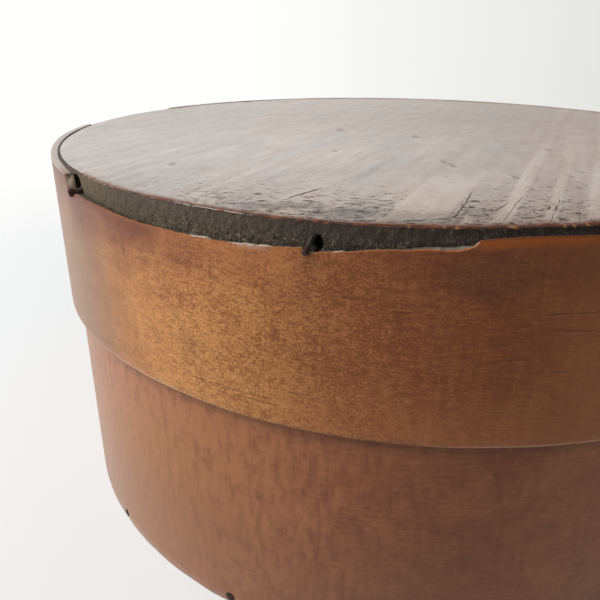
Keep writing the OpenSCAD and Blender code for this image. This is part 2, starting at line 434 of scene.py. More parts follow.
# %% Varnish of the lid hoop
def lid_varnish():
    paint = Paint("lid_varnish")
    place = paint.mark("strip_mm")
    edge = paint.mark("edge_mm")
    arc, height, _ = place
    drift = paint.noise(arc * 0.018, height * 0.03, 3.0)
    patch = paint.noise(arc * 0.10, height * 0.15, 6.0, 4.0, 0.6)
    figured = paint.step(abs(arc + 48.0) + (patch - 0.5) * 40.0, 62.0, 20.0)
    grain, cells, pores = lid_figure(paint, arc, height, figured)
    lid_wood(paint, place, edge, patch, grain + (patch - 0.5) * 0.8 + (drift - 0.5) * 0.4)
    crack = lid_dirt_and_shade(paint, place, edge, patch, cells)
    lid_edge_wear_and_light(paint, place, edge, patch, cells)
    roughness = 0.42 + (cells - 0.5) * 0.08 + crack * 0.2
    relief = pores * -0.5 + cells * 0.3 - crack * 1.4
    return paint.finish(roughness, relief, 0.04, sheen_weight=0.40, **OLD_SHELLAC)


lid_varnish_finish = lid_varnish()
print("made", lid_varnish_finish.name)

# %% [markdown]
# ## The body's varnished strip
# Hands have touched the body less. Its varnish is redder and smoother, with soft upright streaks of
# curl and a greyer bloom low down where the box stood on shelves. A darker line, dirt and painted shade,
# runs where the lid's edge ends, and painted light brightens the strip at the right. The same words
# paint it, with fewer coats.

# %% Varnish of the body hoop
BODY_LIGHT = (0.390, 0.152, 0.066)
BODY_DARK = (0.195, 0.062, 0.031)
BODY_TAN = (0.345, 0.148, 0.042)
BODY_BLOOM = (0.215, 0.100, 0.058)
BODY_RUBBED = (0.400, 0.250, 0.150)


def body_varnish():
    paint = Paint("body_varnish")
    arc, height, _ = paint.mark("strip_mm")
    low = paint.mark("edge_mm")[0]
    drift = paint.noise(arc * 0.015, height * 0.025, 21.0)
    blotch = paint.noise(arc * 0.09, height * 0.10, 2.0, 4.0, 0.6)
    curl = paint.noise(arc * 0.52, height * 0.15, 4.0, 3.0, 0.6, 0.3)
    mottle = paint.noise(arc * 0.60, height * 1.1, 9.0, 3.0, 0.62, 0.4)
    fibre = paint.noise(arc * 0.14, height * 1.4, 7.0, 3.0, 0.62)
    behind = paint.step(arc, -120.0, -240.0)
    tone = (curl - 0.5) * (0.6 + paint.step(arc, -5.0, -50.0) * (1.0 - behind) * 1.5)
    tone = tone + (mottle - 0.5) * 0.55 + (blotch - 0.5) * 0.5 + (fibre - 0.5) * 0.6 + (drift - 0.5) * 0.5
    # the step past arc 6 mm is painted light: lighter towards the right
    faded_and_lit = paint.step(arc, 14.0, -52.0) * 0.44 + 0.28 + paint.step(arc, 6.0, 26.0) * 0.24 - behind * 0.2
    paint.ground(paint.step(tone + faded_and_lit, 0.0, 1.0), BODY_DARK, BODY_LIGHT)
    tan = paint.step(arc + (blotch - 0.5) * 120.0, -20.0, -80.0) * paint.step(height, 62.0, 30.0)
    paint.lay(tan * (1.0 - behind) * 0.6, BODY_TAN)
    bloom = paint.step(height + (drift - 0.5) * 40.0, 45.0, 5.0) * 0.35
    paint.lay(bloom, BODY_BLOOM)
    # dirt and painted shade: a darker line where the lid's edge ends
    lid_line_dirt_and_shade = paint.span(height, (lid_low - 5.0, lid_low - 1.8), (lid_low + 3.0, lid_low))
    paint.lay(lid_line_dirt_and_shade * 0.35, DIRT_AND_SHADE)
    paint.lay(paint.step(low, 1.2, 0.2) * 0.3, BODY_RUBBED)
    roughness = 0.40 + (mottle - 0.5) * 0.1
    relief = fibre * 0.4 + mottle * 0.4
    return paint.finish(roughness, relief, 0.03, sheen_weight=0.42, **OLD_SHELLAC)


body_varnish_finish = body_varnish()
print("made", body_varnish_finish.name)

# %% [markdown]
# ## Bare and broken wood
# The insides of the hoops were never varnished: they are paler and dull, browned a little by age. Where
# the rim broke off, the outer lip shows raw orange wood, and the rest of the break has gone dark. Each is
# a finish of its own, because it meets the varnish at a sharp edge of the strip.

# %% Bare wood inside the hoops
BARE_BROWN = (0.33, 0.195, 0.105)
BARE_PALE = (0.56, 0.385, 0.23)
BARE_GROOVE_SHADE = (0.045, 0.033, 0.026)


def bare_strip():
    paint = Paint("bare_strip")
    arc, height, _ = paint.mark("strip_mm")
    drift = paint.noise(arc * 0.02, height * 0.05, 2.0)
    fibre = paint.noise(arc * 0.03, height * 1.8, 6.0, 4.0, 0.6)
    curl = paint.noise(arc * 0.15, height * 0.02, 3.0)
    tone = (fibre - 0.5) * 0.9 + (curl - 0.5) * 0.5 + (drift - 0.5) * 0.8 + 0.5
    paint.ground(paint.step(tone, 0.0, 1.0), BARE_BROWN, BARE_PALE)
    # painted shade: the inside darkened high up, in the groove beside the lid board, less at the back
    inner_groove_shade = paint.step(height, top_low + 3.0, top_low + 5.5)
    inner_groove_shade = inner_groove_shade * (1.0 - paint.step(abs(arc), 150.0, 200.0) * 0.7)
    paint.lay(inner_groove_shade * 0.92, BARE_GROOVE_SHADE)
    return paint.finish(0.62 + fibre * 0.2, fibre, 0.06)


bare_strip_finish = bare_strip()
print("made", bare_strip_finish.name)

# %% The raw break
PALE_SPLINTERS = [(-53.2, 2.6), (-43.8, 3.0), (-39.4, 1.5), (-30.4, 0.5), (-26.0, 0.6)]
BREAK_DARK = (0.130, 0.118, 0.088)
BREAK_DUSTY = (0.205, 0.196, 0.160)
BREAK_LIP = (0.440, 0.132, 0.036)
BREAK_PALE = (0.800, 0.690, 0.580)
END_BROWN = (0.480, 0.345, 0.265)
END_PALE = (0.560, 0.410, 0.320)


def raw_break():
    paint = Paint("raw_break")
    arc, height, radius = paint.mark("strip_mm")
    up = paint.split(paint.node("ShaderNodeNewGeometry", {}, {}, "Normal"))[2]
    splinter = paint.noise(arc * 0.5, height * 3.0, radius * 4.0, 3.0, 0.6)
    dust = paint.noise(arc * 0.8, radius * 2.0, 4.0, 3.0, 0.6)
    ledge = paint.span(arc, (-60.0, -50.0), (-22.0, -26.0)) * 0.6
    ledge = paint.span(arc, (-14.0, -9.0), (-2.5, -4.0)) | ledge
    paint.ground(ledge, BREAK_DARK, BREAK_DUSTY)
    paint.lay(paint.step(dust, 0.44, 0.60) * (0.85 - ledge * 0.50), DIRT_AND_SHADE)
    lip = paint.step(radius + (splinter - 0.5) * 0.8, lid_r - 0.75, lid_r - 0.35)
    paint.lay(lip * (1.0 - paint.step(arc, -78.0, -92.0) * 0.7), BREAK_LIP)
    pale = 0.0
    for place, half in PALE_SPLINTERS:
        pale = paint.step(abs(arc - place) + (splinter - 0.5) * 5.0, half, half * 0.5) | pale
    paint.lay(pale * 0.75, BREAK_PALE)
    paint.lay(paint.step(up, 0.7, 0.35), paint.mix(splinter, END_BROWN, END_PALE))
    return paint.finish(0.60 + splinter * 0.2, splinter, 0.12, specular_ior_level=0.2)


raw_break_finish = raw_break()
print("made", raw_break_finish.name)

# %% [markdown]
# ## The lid board's dark varnish
# The top has been scratched, scrubbed and polished for a century. It is dark brown, but seen flat it
# mirrors the room. Raised bands of hard late wood are smooth and pinkish, and the soft wood between them
# is pitted. Short dark dashes follow the grain, and scuffs crowd the front edge. The grain runs slantwise
# from the front to the back, so the pattern is drawn on two turned axes: along and across the grain.

# %% Colours and marks of the lid board
GRAIN_AT = math.radians(67)
SMOOTH_BANDS = [(22.5, 32.8, -66.0), (40.4, 43.3, 90.0), (48.3, 50.3, 200.0), (55.2, 58.6, 200.0)]
TOP_DENTS = [(4.1, -51.0, 1.2), (2.6, -46.4, 1.0), (0.9, -7.6, 1.4), (-21.8, 4.0, 1.8),
             (15.8, -64.0, 1.0), (-24.5, -33.7, 0.9), (-64.6, -54.0, 1.2),
             (15.4, -76.4, 0.6), (20.1, -73.6, 0.7), (26.0, -74.5, 0.6), (33.0, -57.0, 0.7),
             (28.7, -63.0, 0.6), (35.0, -27.7, 0.9), (15.4, -90.0, 0.7)]
DENT_STRETCH = 2.4
TOP_SCRATCHES = [((-34.8, -86.0), (-28.1, -77.3), 0.42), ((2.4, -79.5), (-1.4, -89.7), 0.16),
                 ((-1.4, -89.7), (-3.8, -96.0), 0.26), ((-3.8, -96.0), (-5.6, -99.0), 0.34),
                 ((-5.6, -99.0), (-9.8, -100.4), 0.42), ((-9.8, -100.4), (-14.2, -100.8), 0.45),
                 ((11.7, -82.8), (2.8, -101.0), 0.11),
                 ((-25.8, -87.0), (-19.6, -88.0), 0.18), ((-30.0, -96.6), (-21.7, -93.4), 0.24),
                 ((-20.2, -92.1), (-15.0, -89.7), 0.24), ((3.3, -93.8), (7.3, -88.3), 0.20),
                 ((9.2, -91.5), (10.6, -97.1), 0.18), ((12.6, -93.8), (14.2, -90.6), 0.34),
                 ((13.3, -94.4), (15.8, -90.0), 0.28), ((18.0, -85.2), (10.6, -101.6), 0.08)]
TOP_SCUFFS = [(-34.0, -92.0, 9.0, 3.2), (-23.0, -96.0, 9.0, 3.8), (-11.5, -98.8, 9.0, 4.4),
              (1.5, -98.0, 4.6, 5.0), (9.0, -98.5, 3.6, 3.0), (18.5, -98.0, 4.6, 3.0)]
TOP_DARK = (0.215, 0.112, 0.062)
TOP_BROWN = (0.380, 0.212, 0.115)
TOP_DUSTY = (0.230, 0.185, 0.150)
TOP_RED = (0.400, 0.150, 0.075)
TOP_BAND = (0.460, 0.255, 0.148)
TOP_PIT = (0.022, 0.018, 0.017)
TOP_SCUFF = (0.050, 0.045, 0.043)
TOP_WORN = (0.185, 0.056, 0.026)
TOP_GROOVE_SHADE = (0.024, 0.020, 0.020)
print("the face has", len(TOP_SCRATCHES), "scratches,", len(TOP_DENTS), "dents and",
      len(SMOOTH_BANDS), "smooth bands")

# %% Grain, scratches and bands
def grain_axes(x, y):
    """Distances along and across the grain of the lid board."""
    along = x * math.cos(GRAIN_AT) + y * math.sin(GRAIN_AT)
    across = x * math.sin(GRAIN_AT) - y * math.cos(GRAIN_AT)
    return along, across


def scratch(paint, x, y, start, end, half_width):
    """A mask for a straight scratch between two points of the face."""
    way = Vector(end) - Vector(start)
    east, north = way.normalized()
    along = (x - start[0]) * east + (y - start[1]) * north
    beside = abs((y - start[1]) * east - (x - start[0]) * north)
    inside = paint.span(along, (-0.5, 0.8), (way.length + 0.5, way.length - 0.8))
    return paint.step(beside, half_width, half_width * 0.4) * inside


def smooth_bands(paint, along, across, sway):
    """A mask for the hard bands, each from one side to the other and up to its own end."""
    band = 0.0
    for low, high, end in SMOOTH_BANDS:
        inside = paint.span(across, (low - 0.6, low + 0.6), (high + 0.3, high - 0.3))
        band = inside * paint.step(along + sway * 8.0, end + 24.0, end - 10.0) | band
    return band * (0.35 + paint.step(along, 30.0, -60.0) * 0.65)


print("grain of the lid board runs at", round(math.degrees(GRAIN_AT)), "degrees")

# %% Varnish of the lid board
def top_varnish():
    paint = Paint("top_varnish")
    x, y, _ = paint.place()
    arc = paint.mark("strip_mm")[0]
    from_edge = paint.mark("wear")[0]
    along, across = grain_axes(x, y)
    cloud = paint.noise(along * 0.030, across * 0.09, 4.0, 4.0, 0.62, 0.4)
    lump = paint.noise(along * 0.11, across * 0.30, 8.0, 3.0, 0.6)
    sway = (paint.noise(along * 0.04, across * 0.12, 2.0, 3.0) - 0.5) * 0.8
    streak = paint.noise(along * 0.022, across * 0.5, 6.0, 3.0, 0.6)
    ribbon = paint.noise(along * 0.016, across * 0.26, 12.0, 3.0, 0.55)
    dash = paint.noise(along * 0.24, across * 0.9, 9.0, 3.0, 0.62, 0.5)
    nick = paint.noise(x * 0.34 + y * 0.08, y * 1.0, 18.0, 3.0, 0.65, 0.3)
    smear = paint.noise(along * 0.10, across * 0.34, 15.0, 4.0, 0.65, 0.6)
    left = paint.step(x, -40.0, -72.0)
    front = paint.step(y + (smear - 0.5) * 40.0, -45.0, -92.0) * (1.0 - left * 0.7)
    band = smooth_bands(paint, along, across + sway, sway)
    band = band * paint.step(from_edge + (nick - 0.5) * 4.0, 1.6, 3.0)
    crowd = paint.step(from_edge + (smear - 0.5) * 30.0, 24.0, 2.0)
    pits = paint.step(dash + crowd * 0.08, 0.64, 0.71) * (1.0 - band * 0.85)
    nicks = paint.step(nick + crowd * 0.05 + front * 0.065, 0.65, 0.70) * (1.0 - band * 0.7)
    cut = 0.0
    for start, end, half_width in TOP_SCRATCHES:
        shaken = (x + (smear - 0.5) * 1.6, y + (dash - 0.5) * 1.2 + (nick - 0.5) * 0.8)
        cut = scratch(paint, *shaken, start, end, half_width) | cut
    ovals = [(*dent, dent[2] * DENT_STRETCH) for dent in TOP_DENTS]
    dents = paint.spots(x, y, ovals, (nick - 0.5) * 1.6, 1.1, 0.0)
    dark = pits * (0.16 + front * 0.45) | nicks * (0.08 + front * 0.9) | cut | dents * 0.36
    scuff = paint.spots(x, y, TOP_SCUFFS, (nick - 0.5) * 7.0 + (smear - 0.5) * 3.5, 1.2, 0.2) * 0.58
    behind_rim = paint.span(arc, (-235.0, -205.0), (-92.0, -100.0))
    # painted shade: a dark line in the groove where the face meets the whole rim
    groove_shade = paint.step(from_edge + (nick - 0.5) * 0.3, 0.4, 0.1) * behind_rim
    worn = paint.step(from_edge + (dash - 0.5) * 2.0 + (nick - 0.5) * 2.5, 1.8, 0.2) * (1.0 - behind_rim)
    east = paint.step(across + sway, 26.0, 46.0)
    tone = paint.step((streak - 0.5) * 0.9 + (cloud - 0.5) * 2.0 + 0.5 - east * 0.15, 0.0, 1.0)
    paint.ground(tone, TOP_DARK, TOP_BROWN)
    paint.lay(left * 0.38, TOP_DUSTY)
    paint.lay(east * 0.4, TOP_RED)
    between = (1.0 - band) * paint.step(along, 0.0, -80.0) * east
    paint.lay(between * 0.15, TOP_SCUFF)
    paint.lay(band * 0.7, TOP_BAND)
    scuff = scuff * (1.0 - east * 0.5)
    paint.lay(scuff * 0.9, TOP_SCUFF)
    paint.lay(dark * 0.9, TOP_PIT)
    paint.lay(worn * 0.85, TOP_WORN)
    paint.lay(groove_shade * 0.85, TOP_GROOVE_SHADE)
    gone = dark * 0.9 | scuff * 0.7 | worn * 0.8 | groove_shade
    roughness = 0.20 + (cloud - 0.5) * 0.16 + gone * 0.35 - band * 0.03
    polish = (0.44 + paint.step(y, 45.0, -55.0) * 0.48) * (1.0 - paint.step(x, -30.0, 60.0) * 0.37)
    waves = (lump - 0.5) * (0.8 + east * 0.3) + (ribbon - 0.5) * east * 1.6 + (cloud - 0.5) * 0.4
    polish = polish * (1.0 + band * 0.16 - between * 0.06 + waves) * (1.0 - gone)
    relief = streak * 0.18 + cloud * 0.6 + lump * 0.5 + dash * 0.2 - dark * 0.8 - scuff * 0.3 + band * 0.2
    return paint.finish(roughness, relief, 0.10, specular_ior_level=0.05, coat_weight=polish,
                        coat_roughness=0.14, coat_ior=1.75)


top_varnish_finish = top_varnish()
print("made", top_varnish_finish.name)

# %% [markdown]
# ## The board's edge and the plain boards
# The lid board's edge was hidden by the rim, and never finished: dark, furry end grain with pale dust in
# its fibres, darker towards the right as painted shade, and with painted shade in its torn holes. Its arris
# has worn through to red and orange wood, with a few chips, painted pale glints, a painted pale pink
# highlight at the left, and painted shade behind the whole rim. The base board and the underside of the
# lid board are bare wood with straight grain. Each finish goes to its own rings of faces, so none needs a
# mask for where it ends.

# %% End grain of the lid board
EDGE_SHADED = (0.038, 0.027, 0.023)
EDGE_GREY = (0.090, 0.067, 0.050)
EDGE_OLIVE = (0.092, 0.072, 0.045)
EDGE_DUST = (0.340, 0.295, 0.215)
EDGE_HOLLOW_AND_HOLE_SHADE = (0.008, 0.006, 0.006)
EDGE_TAN = (0.165, 0.122, 0.072)


def edge_grain():
    paint = Paint("edge_grain")
    arc, height, radius = paint.mark("strip_mm")
    hole = paint.mark("wear")[1]
    fur = paint.noise(arc * 1.6, height * 1.1, radius * 1.2, 3.0, 0.65)
    grit = paint.noise(arc * 2.5, height * 1.7, 5.0, 2.0, 0.62)
    clump = paint.noise(arc * 0.35, height * 0.5, 3.0, 3.0)
    low = paint.step(height + (clump - 0.5) * 3.0, top_face - 1.6, top_face - 4.2)
    # painted shade: darker towards the right, in the gap under the worn arris
    left = paint.step(arc, 4.0, -64.0)
    paint.ground(left, EDGE_SHADED, EDGE_GREY)
    paint.lay(low * left * 0.5, EDGE_OLIVE)
    calm = 1.0 - paint.step(arc, -52.0, -78.0) * 0.7
    speck = paint.step(grit + (clump - 0.5) * 0.5, 0.57, 0.65) * (0.3 + low * 0.7)
    paint.lay(paint.step(arc, -72.0, -92.0) * 0.35, EDGE_TAN)
    paint.lay(speck * calm * 0.62, EDGE_DUST)
    # dark hollows of the end grain, and painted shade filling the torn holes
    hollow_and_hole_shade = paint.step(grit * 0.6 + fur * 0.4 + (clump - 0.5) * 0.25, 0.46, 0.39)
    hollow_and_hole_shade = hollow_and_hole_shade * (0.3 + low * 0.65) * calm | paint.step(hole, 0.2, 0.6)
    paint.lay(hollow_and_hole_shade, EDGE_HOLLOW_AND_HOLE_SHADE)
    return paint.finish(0.88, fur * 0.5 + grit * 0.5, 0.25, specular_ior_level=0.2)


edge_grain_finish = edge_grain()
print("made", edge_grain_finish.name)

# %% Worn arris of the lid board, with painted glints and shade
ARRIS_CHIPS = [(3.8, 1.1), (11.4, 0.3), (13.0, 0.35), (14.8, 0.25), (17.4, 0.4),
               (-13.9, 0.25), (-7.8, 0.2), (-5.6, 0.3), (-33.0, 0.3)]
ARRIS_DARK = (0.034, 0.022, 0.018)
ARRIS_RED = (0.150, 0.044, 0.020)
ARRIS_ORANGE = (0.300, 0.085, 0.030)
ARRIS_LIT_PINK = (0.620, 0.360, 0.230)
ARRIS_PAINTED_GLINT = (0.640, 0.560, 0.490)
ARRIS_CHIPPED = (0.430, 0.200, 0.080)


def arris_wear_and_light():
    paint = Paint("arris_wear_and_light")
    arc, height, radius = paint.mark("strip_mm")
    from_edge = paint.mark("wear")[0]
    chips = paint.noise(arc * 0.9, height * 1.6, radius * 1.0, 4.0, 0.65)
    patch = paint.noise(arc * 0.16, 3.0, radius * 0.2, 3.0)
    front = paint.step(arc, -34.0, -14.0)
    upper = paint.step(from_edge + (chips - 0.5) * (1.0 - front * 0.4), -0.50, -0.15)
    worn = (paint.step(chips + (patch - 0.5) * 0.5, 0.42, 0.60) | front * 0.7) * upper
    paint.ground(worn, ARRIS_DARK, ARRIS_RED)
    reddest = paint.span(arc, (-90.0, -60.0), (4.0, -30.0))
    spotted = paint.step(patch + (chips - 0.5) * 0.8, 0.50, 0.62)
    paint.lay(worn * reddest * spotted * 0.7, ARRIS_ORANGE)
    # painted glints: pale highlights along the arris, a longer run of them at the left
    run = paint.span(arc, (-62.0, -57.0), (-41.0, -46.0))
    # painted highlight: pale pink on the rubbed arris at the left
    rubbed = worn * paint.step(arc, -66.0, -82.0) * paint.step(patch, 0.40, 0.52)
    paint.lay(rubbed * 0.4, ARRIS_LIT_PINK)
    glint = paint.step(paint.noise(arc * 0.42, 7.0, 2.0, 3.0, 0.62) + run * 0.10, 0.50, 0.56)
    glint = glint * (0.3 + run * 0.7) * paint.span(arc, (-96.0, -84.0), (-34.0, -44.0))
    thin = paint.span(from_edge, (-0.45, -0.3), (-0.1, -0.2))
    paint.lay(glint * thin * 0.75, ARRIS_PAINTED_GLINT)
    chip = 0.0
    for place, half in ARRIS_CHIPS:
        chip = paint.step(abs(arc - place) + (chips - 0.5) * 2.4, half, half * 0.4) | chip
    paint.lay(chip * 0.75, ARRIS_CHIPPED)
    # painted shade: dark behind the whole rim, in the groove
    behind_rim = paint.step(abs(arc), 90.0, 100.0)
    paint.lay(behind_rim * 0.9, TOP_GROOVE_SHADE)
    return paint.finish(0.62, chips, 0.15, specular_ior_level=0.2)


arris_wear_and_light_finish = arris_wear_and_light()
print("made", arris_wear_and_light_finish.name)

# %% Bare boards
BOARD_BROWN = (0.34, 0.215, 0.120)
BOARD_PALE = (0.57, 0.410, 0.255)
BOARD_STAIN = (0.20, 0.125, 0.075)


def bare_board():
    paint = Paint("bare_board")
    x, y, z = paint.place()
    along, across = grain_axes(x, y)
    rings = paint.noise(along * 0.008, across * 0.25, z * 0.1, 3.0, 0.55, 0.4)
    fibre = paint.noise(along * 0.05, across * 1.8, z * 0.5, 3.0, 0.6)
    stain = paint.noise(x * 0.02, y * 0.02, 5.0, 3.0)
    tone = (rings - 0.5) * 1.5 + (fibre - 0.5) * 0.6 + 0.5
    paint.ground(paint.step(tone, 0.0, 1.0), BOARD_BROWN, BOARD_PALE)
    paint.lay(paint.step(stain, 0.52, 0.75) * 0.45, BOARD_STAIN)
    return paint.finish(0.60 + fibre * 0.2, fibre, 0.07)


bare_board_finish = bare_board()
print("made", bare_board_finish.name)

# %% [markdown]
# ## Rusted iron
# The nails are old cut iron: dark grey metal under brown rust, rough all over. Their colour is drawn in
# space and not along a strip, so one finish does for every nail. Where a nail stands in the broken rim,
# the dust of the board's edge lies on it.

# %% Iron
IRON_BLACK = (0.022, 0.020, 0.019)
IRON_RUST = (0.048, 0.021, 0.016)
IRON_ORANGE = (0.110, 0.040, 0.026)


def rusted_iron():
    paint = Paint("rusted_iron")
    x, y, z = paint.place()
    rust = paint.step(paint.noise(x * 1.1, y * 1.1, z * 1.1, 4.0, 0.65), 0.38, 0.62)
    grit = paint.noise(x * 4.0, y * 4.0, z * 4.0, 3.0)
    paint.ground(rust, IRON_BLACK, IRON_RUST)
    paint.lay(paint.step(grit, 0.55, 0.75) * 0.6, IRON_ORANGE)
    dusty = paint.step(paint.from_axis(x, y), lid_r - 0.2, lid_r - 0.9)
    dusty = dusty * paint.step(z, top_low, top_low + 1.0)
    paint.lay(dusty * (0.5 + grit * 0.6), EDGE_GREY)
    return paint.finish(0.60 + rust * 0.25, grit, 0.08, metallic=0.2, specular_ior_level=0.2)


rusted_iron_finish = rusted_iron()
print("made", rusted_iron_finish.name)

# %% [markdown]
# ## From numbers to a piece
# Pieces are made as grids of points in millimetres. One function turns a grid into a mesh in metres,
# writes the marks that the finishes read, and shades it smooth but for its sharp edges. Another hands
# the piece to the frame: what it rides on, and which built node it stands for.

# %% Make and hand over a piece
SHARP_AT = math.radians(42)


def new_piece(name, points, faces, finishes, face_finish, marks):
    mesh = bpy.data.meshes.new(name)
    mesh.from_pydata((np.asarray(points) * MM).tolist(), [], faces)
    for finish in finishes:
        mesh.materials.append(finish)
    mesh.polygons.foreach_set("material_index", np.asarray(face_finish, dtype=np.int32))
    for mark, values in marks.items():
        layer = mesh.attributes.new(mark, "FLOAT_VECTOR", "POINT")
        layer.data.foreach_set("vector", np.asarray(values, dtype=np.float32).ravel())
    mesh.shade_smooth()
    mesh.set_sharp_from_angle(angle=SHARP_AT)
    piece = bpy.data.objects.new(name, mesh)
    bpy.context.scene.collection.objects.link(piece)
    return piece


def hand_over(piece, body, node):
    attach(piece, body)
    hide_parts(node)
    print(piece.name, "stands for", node, "with", len(piece.data.polygons), "faces")


def polar(azimuth, radius, height):
    """Points from an azimuth in degrees, a radius and a height, stacked on the last axis."""
    azimuth, radius, height = np.broadcast_arrays(np.radians(azimuth), radius, height)
    return np.stack([radius * np.cos(azimuth), radius * np.sin(azimuth), height], axis=-1)


print("pieces keep an edge sharp from", round(math.degrees(SHARP_AT)), "degrees")

# %% [markdown]
# ## A bent strip with a lap
# A hoop is one strip, so it is made as one: its section is carried along from the outer tip of the lap,
# once round, to the inner tip. In the lap both ends taper along one slanting line, so the outside stays
# round. Carrying a section gives clean rows of faces, and each corner of it can be worn by its own
# amount at every place.

# %% The strip maker
LAP_TIP_T = 0.35
LAP_GAP = 0.2
LIP = 0.2   # the largest rounding of an upper edge
CORNER = np.radians([0, 45, 90])
OUTSIDE, RIM, INSIDE = range(3)   # the finishes of a strip


def lap_angles(outer_r, lap_len):
    """Sideways set of a lap's parting line, and the azimuth from the middle of the lap to its tips."""
    set_off = HOOP_T / 2 / math.sin(lap_len / (2 * outer_r))
    tip = math.asin((HOOP_T / 2 - LAP_GAP / 2 - LAP_TIP_T) / set_off)
    return set_off, math.degrees(tip)


def stations(start, end, coarse, fine, spans):
    """Azimuths from start to end, a coarse step apart but fine in the spans."""
    stops = [start, *[azimuth for span in spans for azimuth in span], end]
    parts = []
    for index, (low, high) in enumerate(zip(stops[:-1], stops[1:])):
        count = math.ceil((high - low) / (fine if index % 2 else coarse))
        parts.append(np.linspace(low, high, count, endpoint=False))
    return np.concatenate([*parts, [end]])


def corner(radius, height, size, first):
    """Three points round a worn corner; first is the quarter that it starts from."""
    turn = CORNER + first * math.pi / 2
    return [(radius + size * math.cos(t), height + size * math.sin(t)) for t in turn]


def strip_section(outer, inner, low, rim, rim_inside, wear, rows):
    """Radius and height of every point round the section, and which finish each next face takes."""
    soft = np.minimum(wear, (outer - inner) * 0.45)
    section = corner(outer - soft, low + soft, soft, 3)
    shares = np.linspace(0, 1, rows + 2)[1:-1]
    lip = np.minimum(soft * 0.5, LIP)
    section += [(outer, low + soft + share * (rim - lip - low - soft)) for share in shares]
    section += corner(outer - lip, rim - lip, lip, 0)
    for share in (0.3, 0.6):
        across = outer - lip + share * (inner - outer + 2 * lip)
        section.append((across, rim + share * (rim_inside - rim)))
    section += corner(inner + lip, rim_inside - lip, lip, 1)
    section += [(inner, rim_inside - lip - share * (rim_inside - lip - low - soft)) for share in shares]
    section += corner(inner + soft, low + soft, soft, 2)
    finish = [OUTSIDE] * (rows + 4) + [RIM] * 6 + [INSIDE] * (rows + 3) + [OUTSIDE]
    radius = np.stack([np.broadcast_to(r, outer.shape) for r, _ in section], axis=1)
    height = np.stack([np.broadcast_to(z, outer.shape) for _, z in section], axis=1)
    return radius, height, finish


def strip_faces(count, ring):
    """Quads between the sections of a strip, and its two end caps."""
    station, point = np.meshgrid(np.arange(count - 1), np.arange(ring), indexing="ij")
    after = (point + 1) % ring
    quads = np.stack([station * ring + point, (station + 1) * ring + point,
                      (station + 1) * ring + after, station * ring + after], axis=-1)
    first = list(range(ring))
    last = [(count - 1) * ring + point for point in reversed(range(ring))]
    return [*quads.reshape(-1, 4).tolist(), first, last]


print("a lap's ends taper to", LAP_TIP_T, "mm")

# %% [markdown]
# ## The lid hoop and its broken rim
# The rim has broken away along the front, from a square end at the left to a rising slope at the right.
# Its outline is a short list of azimuths and depths below the face of the board. Fine unevenness makes
# it splintered. Right of the break the rim is worn level with the board, and its inner side has gone. The
# lower edge sags a little at the front. Cutting a plain hoop with other shapes could give the break, but
# a list of depths is easier to match to the real one, and keeps the faces in rows.

# %% Outline of the lid hoop
LID_LAP_AT = 55.0
LID_LAP_LEN = 60.0
LID_ROWS = 22
LID_WEAR = 0.32
LID_SEED = 40
RIM_DROP = [(-175, -0.1), (-165, 0.1), (-158, 0.3), (-152, 0.6), (-148, 0.7), (-144.6, 0.95), (-143.9, 3.6),
            (-143.4, 4.6), (-142.2, 4.6), (-139.6, 4.2), (-134.7, 4.6), (-131.3, 4.9), (-128.3, 5.1),
            (-122.9, 5.0), (-116.4, 5.0), (-112.9, 4.75), (-109.7, 4.4), (-107.0, 3.95), (-106.8, 4.6),
            (-105.9, 4.6), (-105.6, 4.45), (-103.4, 4.05), (-101.6, 3.6), (-99.9, 3.1), (-97.6, 2.85),
            (-94.7, 2.55), (-93.5, 2.45), (-92.7, 2.25), (-92.2, 2.0), (-91.7, 1.55), (-91.3, 0.5),
            (-89.7, 0.15), (-88, -0.15), (-84.6, -0.35), (-66, -0.4), (-40, -0.35), (0, -0.1), (110, 0.0),
            (147.6, 0.0), (148.4, 1.1), (160, 1.3), (174.4, 1.0), (175.2, -0.1)]
RIM_INSIDE = [(-150, 0.0), (-144.6, 0.0), (-144.2, 1.5), (-143.9, 2.6), (-143.4, -0.3), (-102, -0.3),
              (-98, -0.2), (-95.5, 0.05), (-92.5, 0.2), (-91, -0.9), (-70, -1.1), (-60, -0.3), (-50, 0.0)]
LOW_SAG = [(-122, 0.0), (-115, 0.4), (-92, 0.35), (-87, 0.1), (-60, 0.1), (-30, 0.0)]
BREAKS = [(-144.6, -91.4), (148.2, 174.8)]
BREAK_SPAN = (209.0, 272.0)
print("the front break is", round(BREAKS[0][1] - BREAKS[0][0], 1), "degrees long, and a lap's tips lie",
      round(lap_angles(lid_r, LID_LAP_LEN)[1], 1), "degrees from its middle")

# %% The hoop maker
HOOP_STEP = 0.6     # degrees between the sections of a hoop
BREAK_STEP = 0.14   # and along the front break
OUT_OF_ROUND = 0.07
LOW_NICKS = 0.12


def round_the_hoop(azimuth, outline):
    """Reads an outline of azimuths and values at any azimuths, closed round the circle."""
    places = np.array([place for place, _ in outline]) % 360
    values = np.array([value for _, value in outline])
    order = np.argsort(places)
    return np.interp(azimuth % 360, places[order], values[order], period=360)


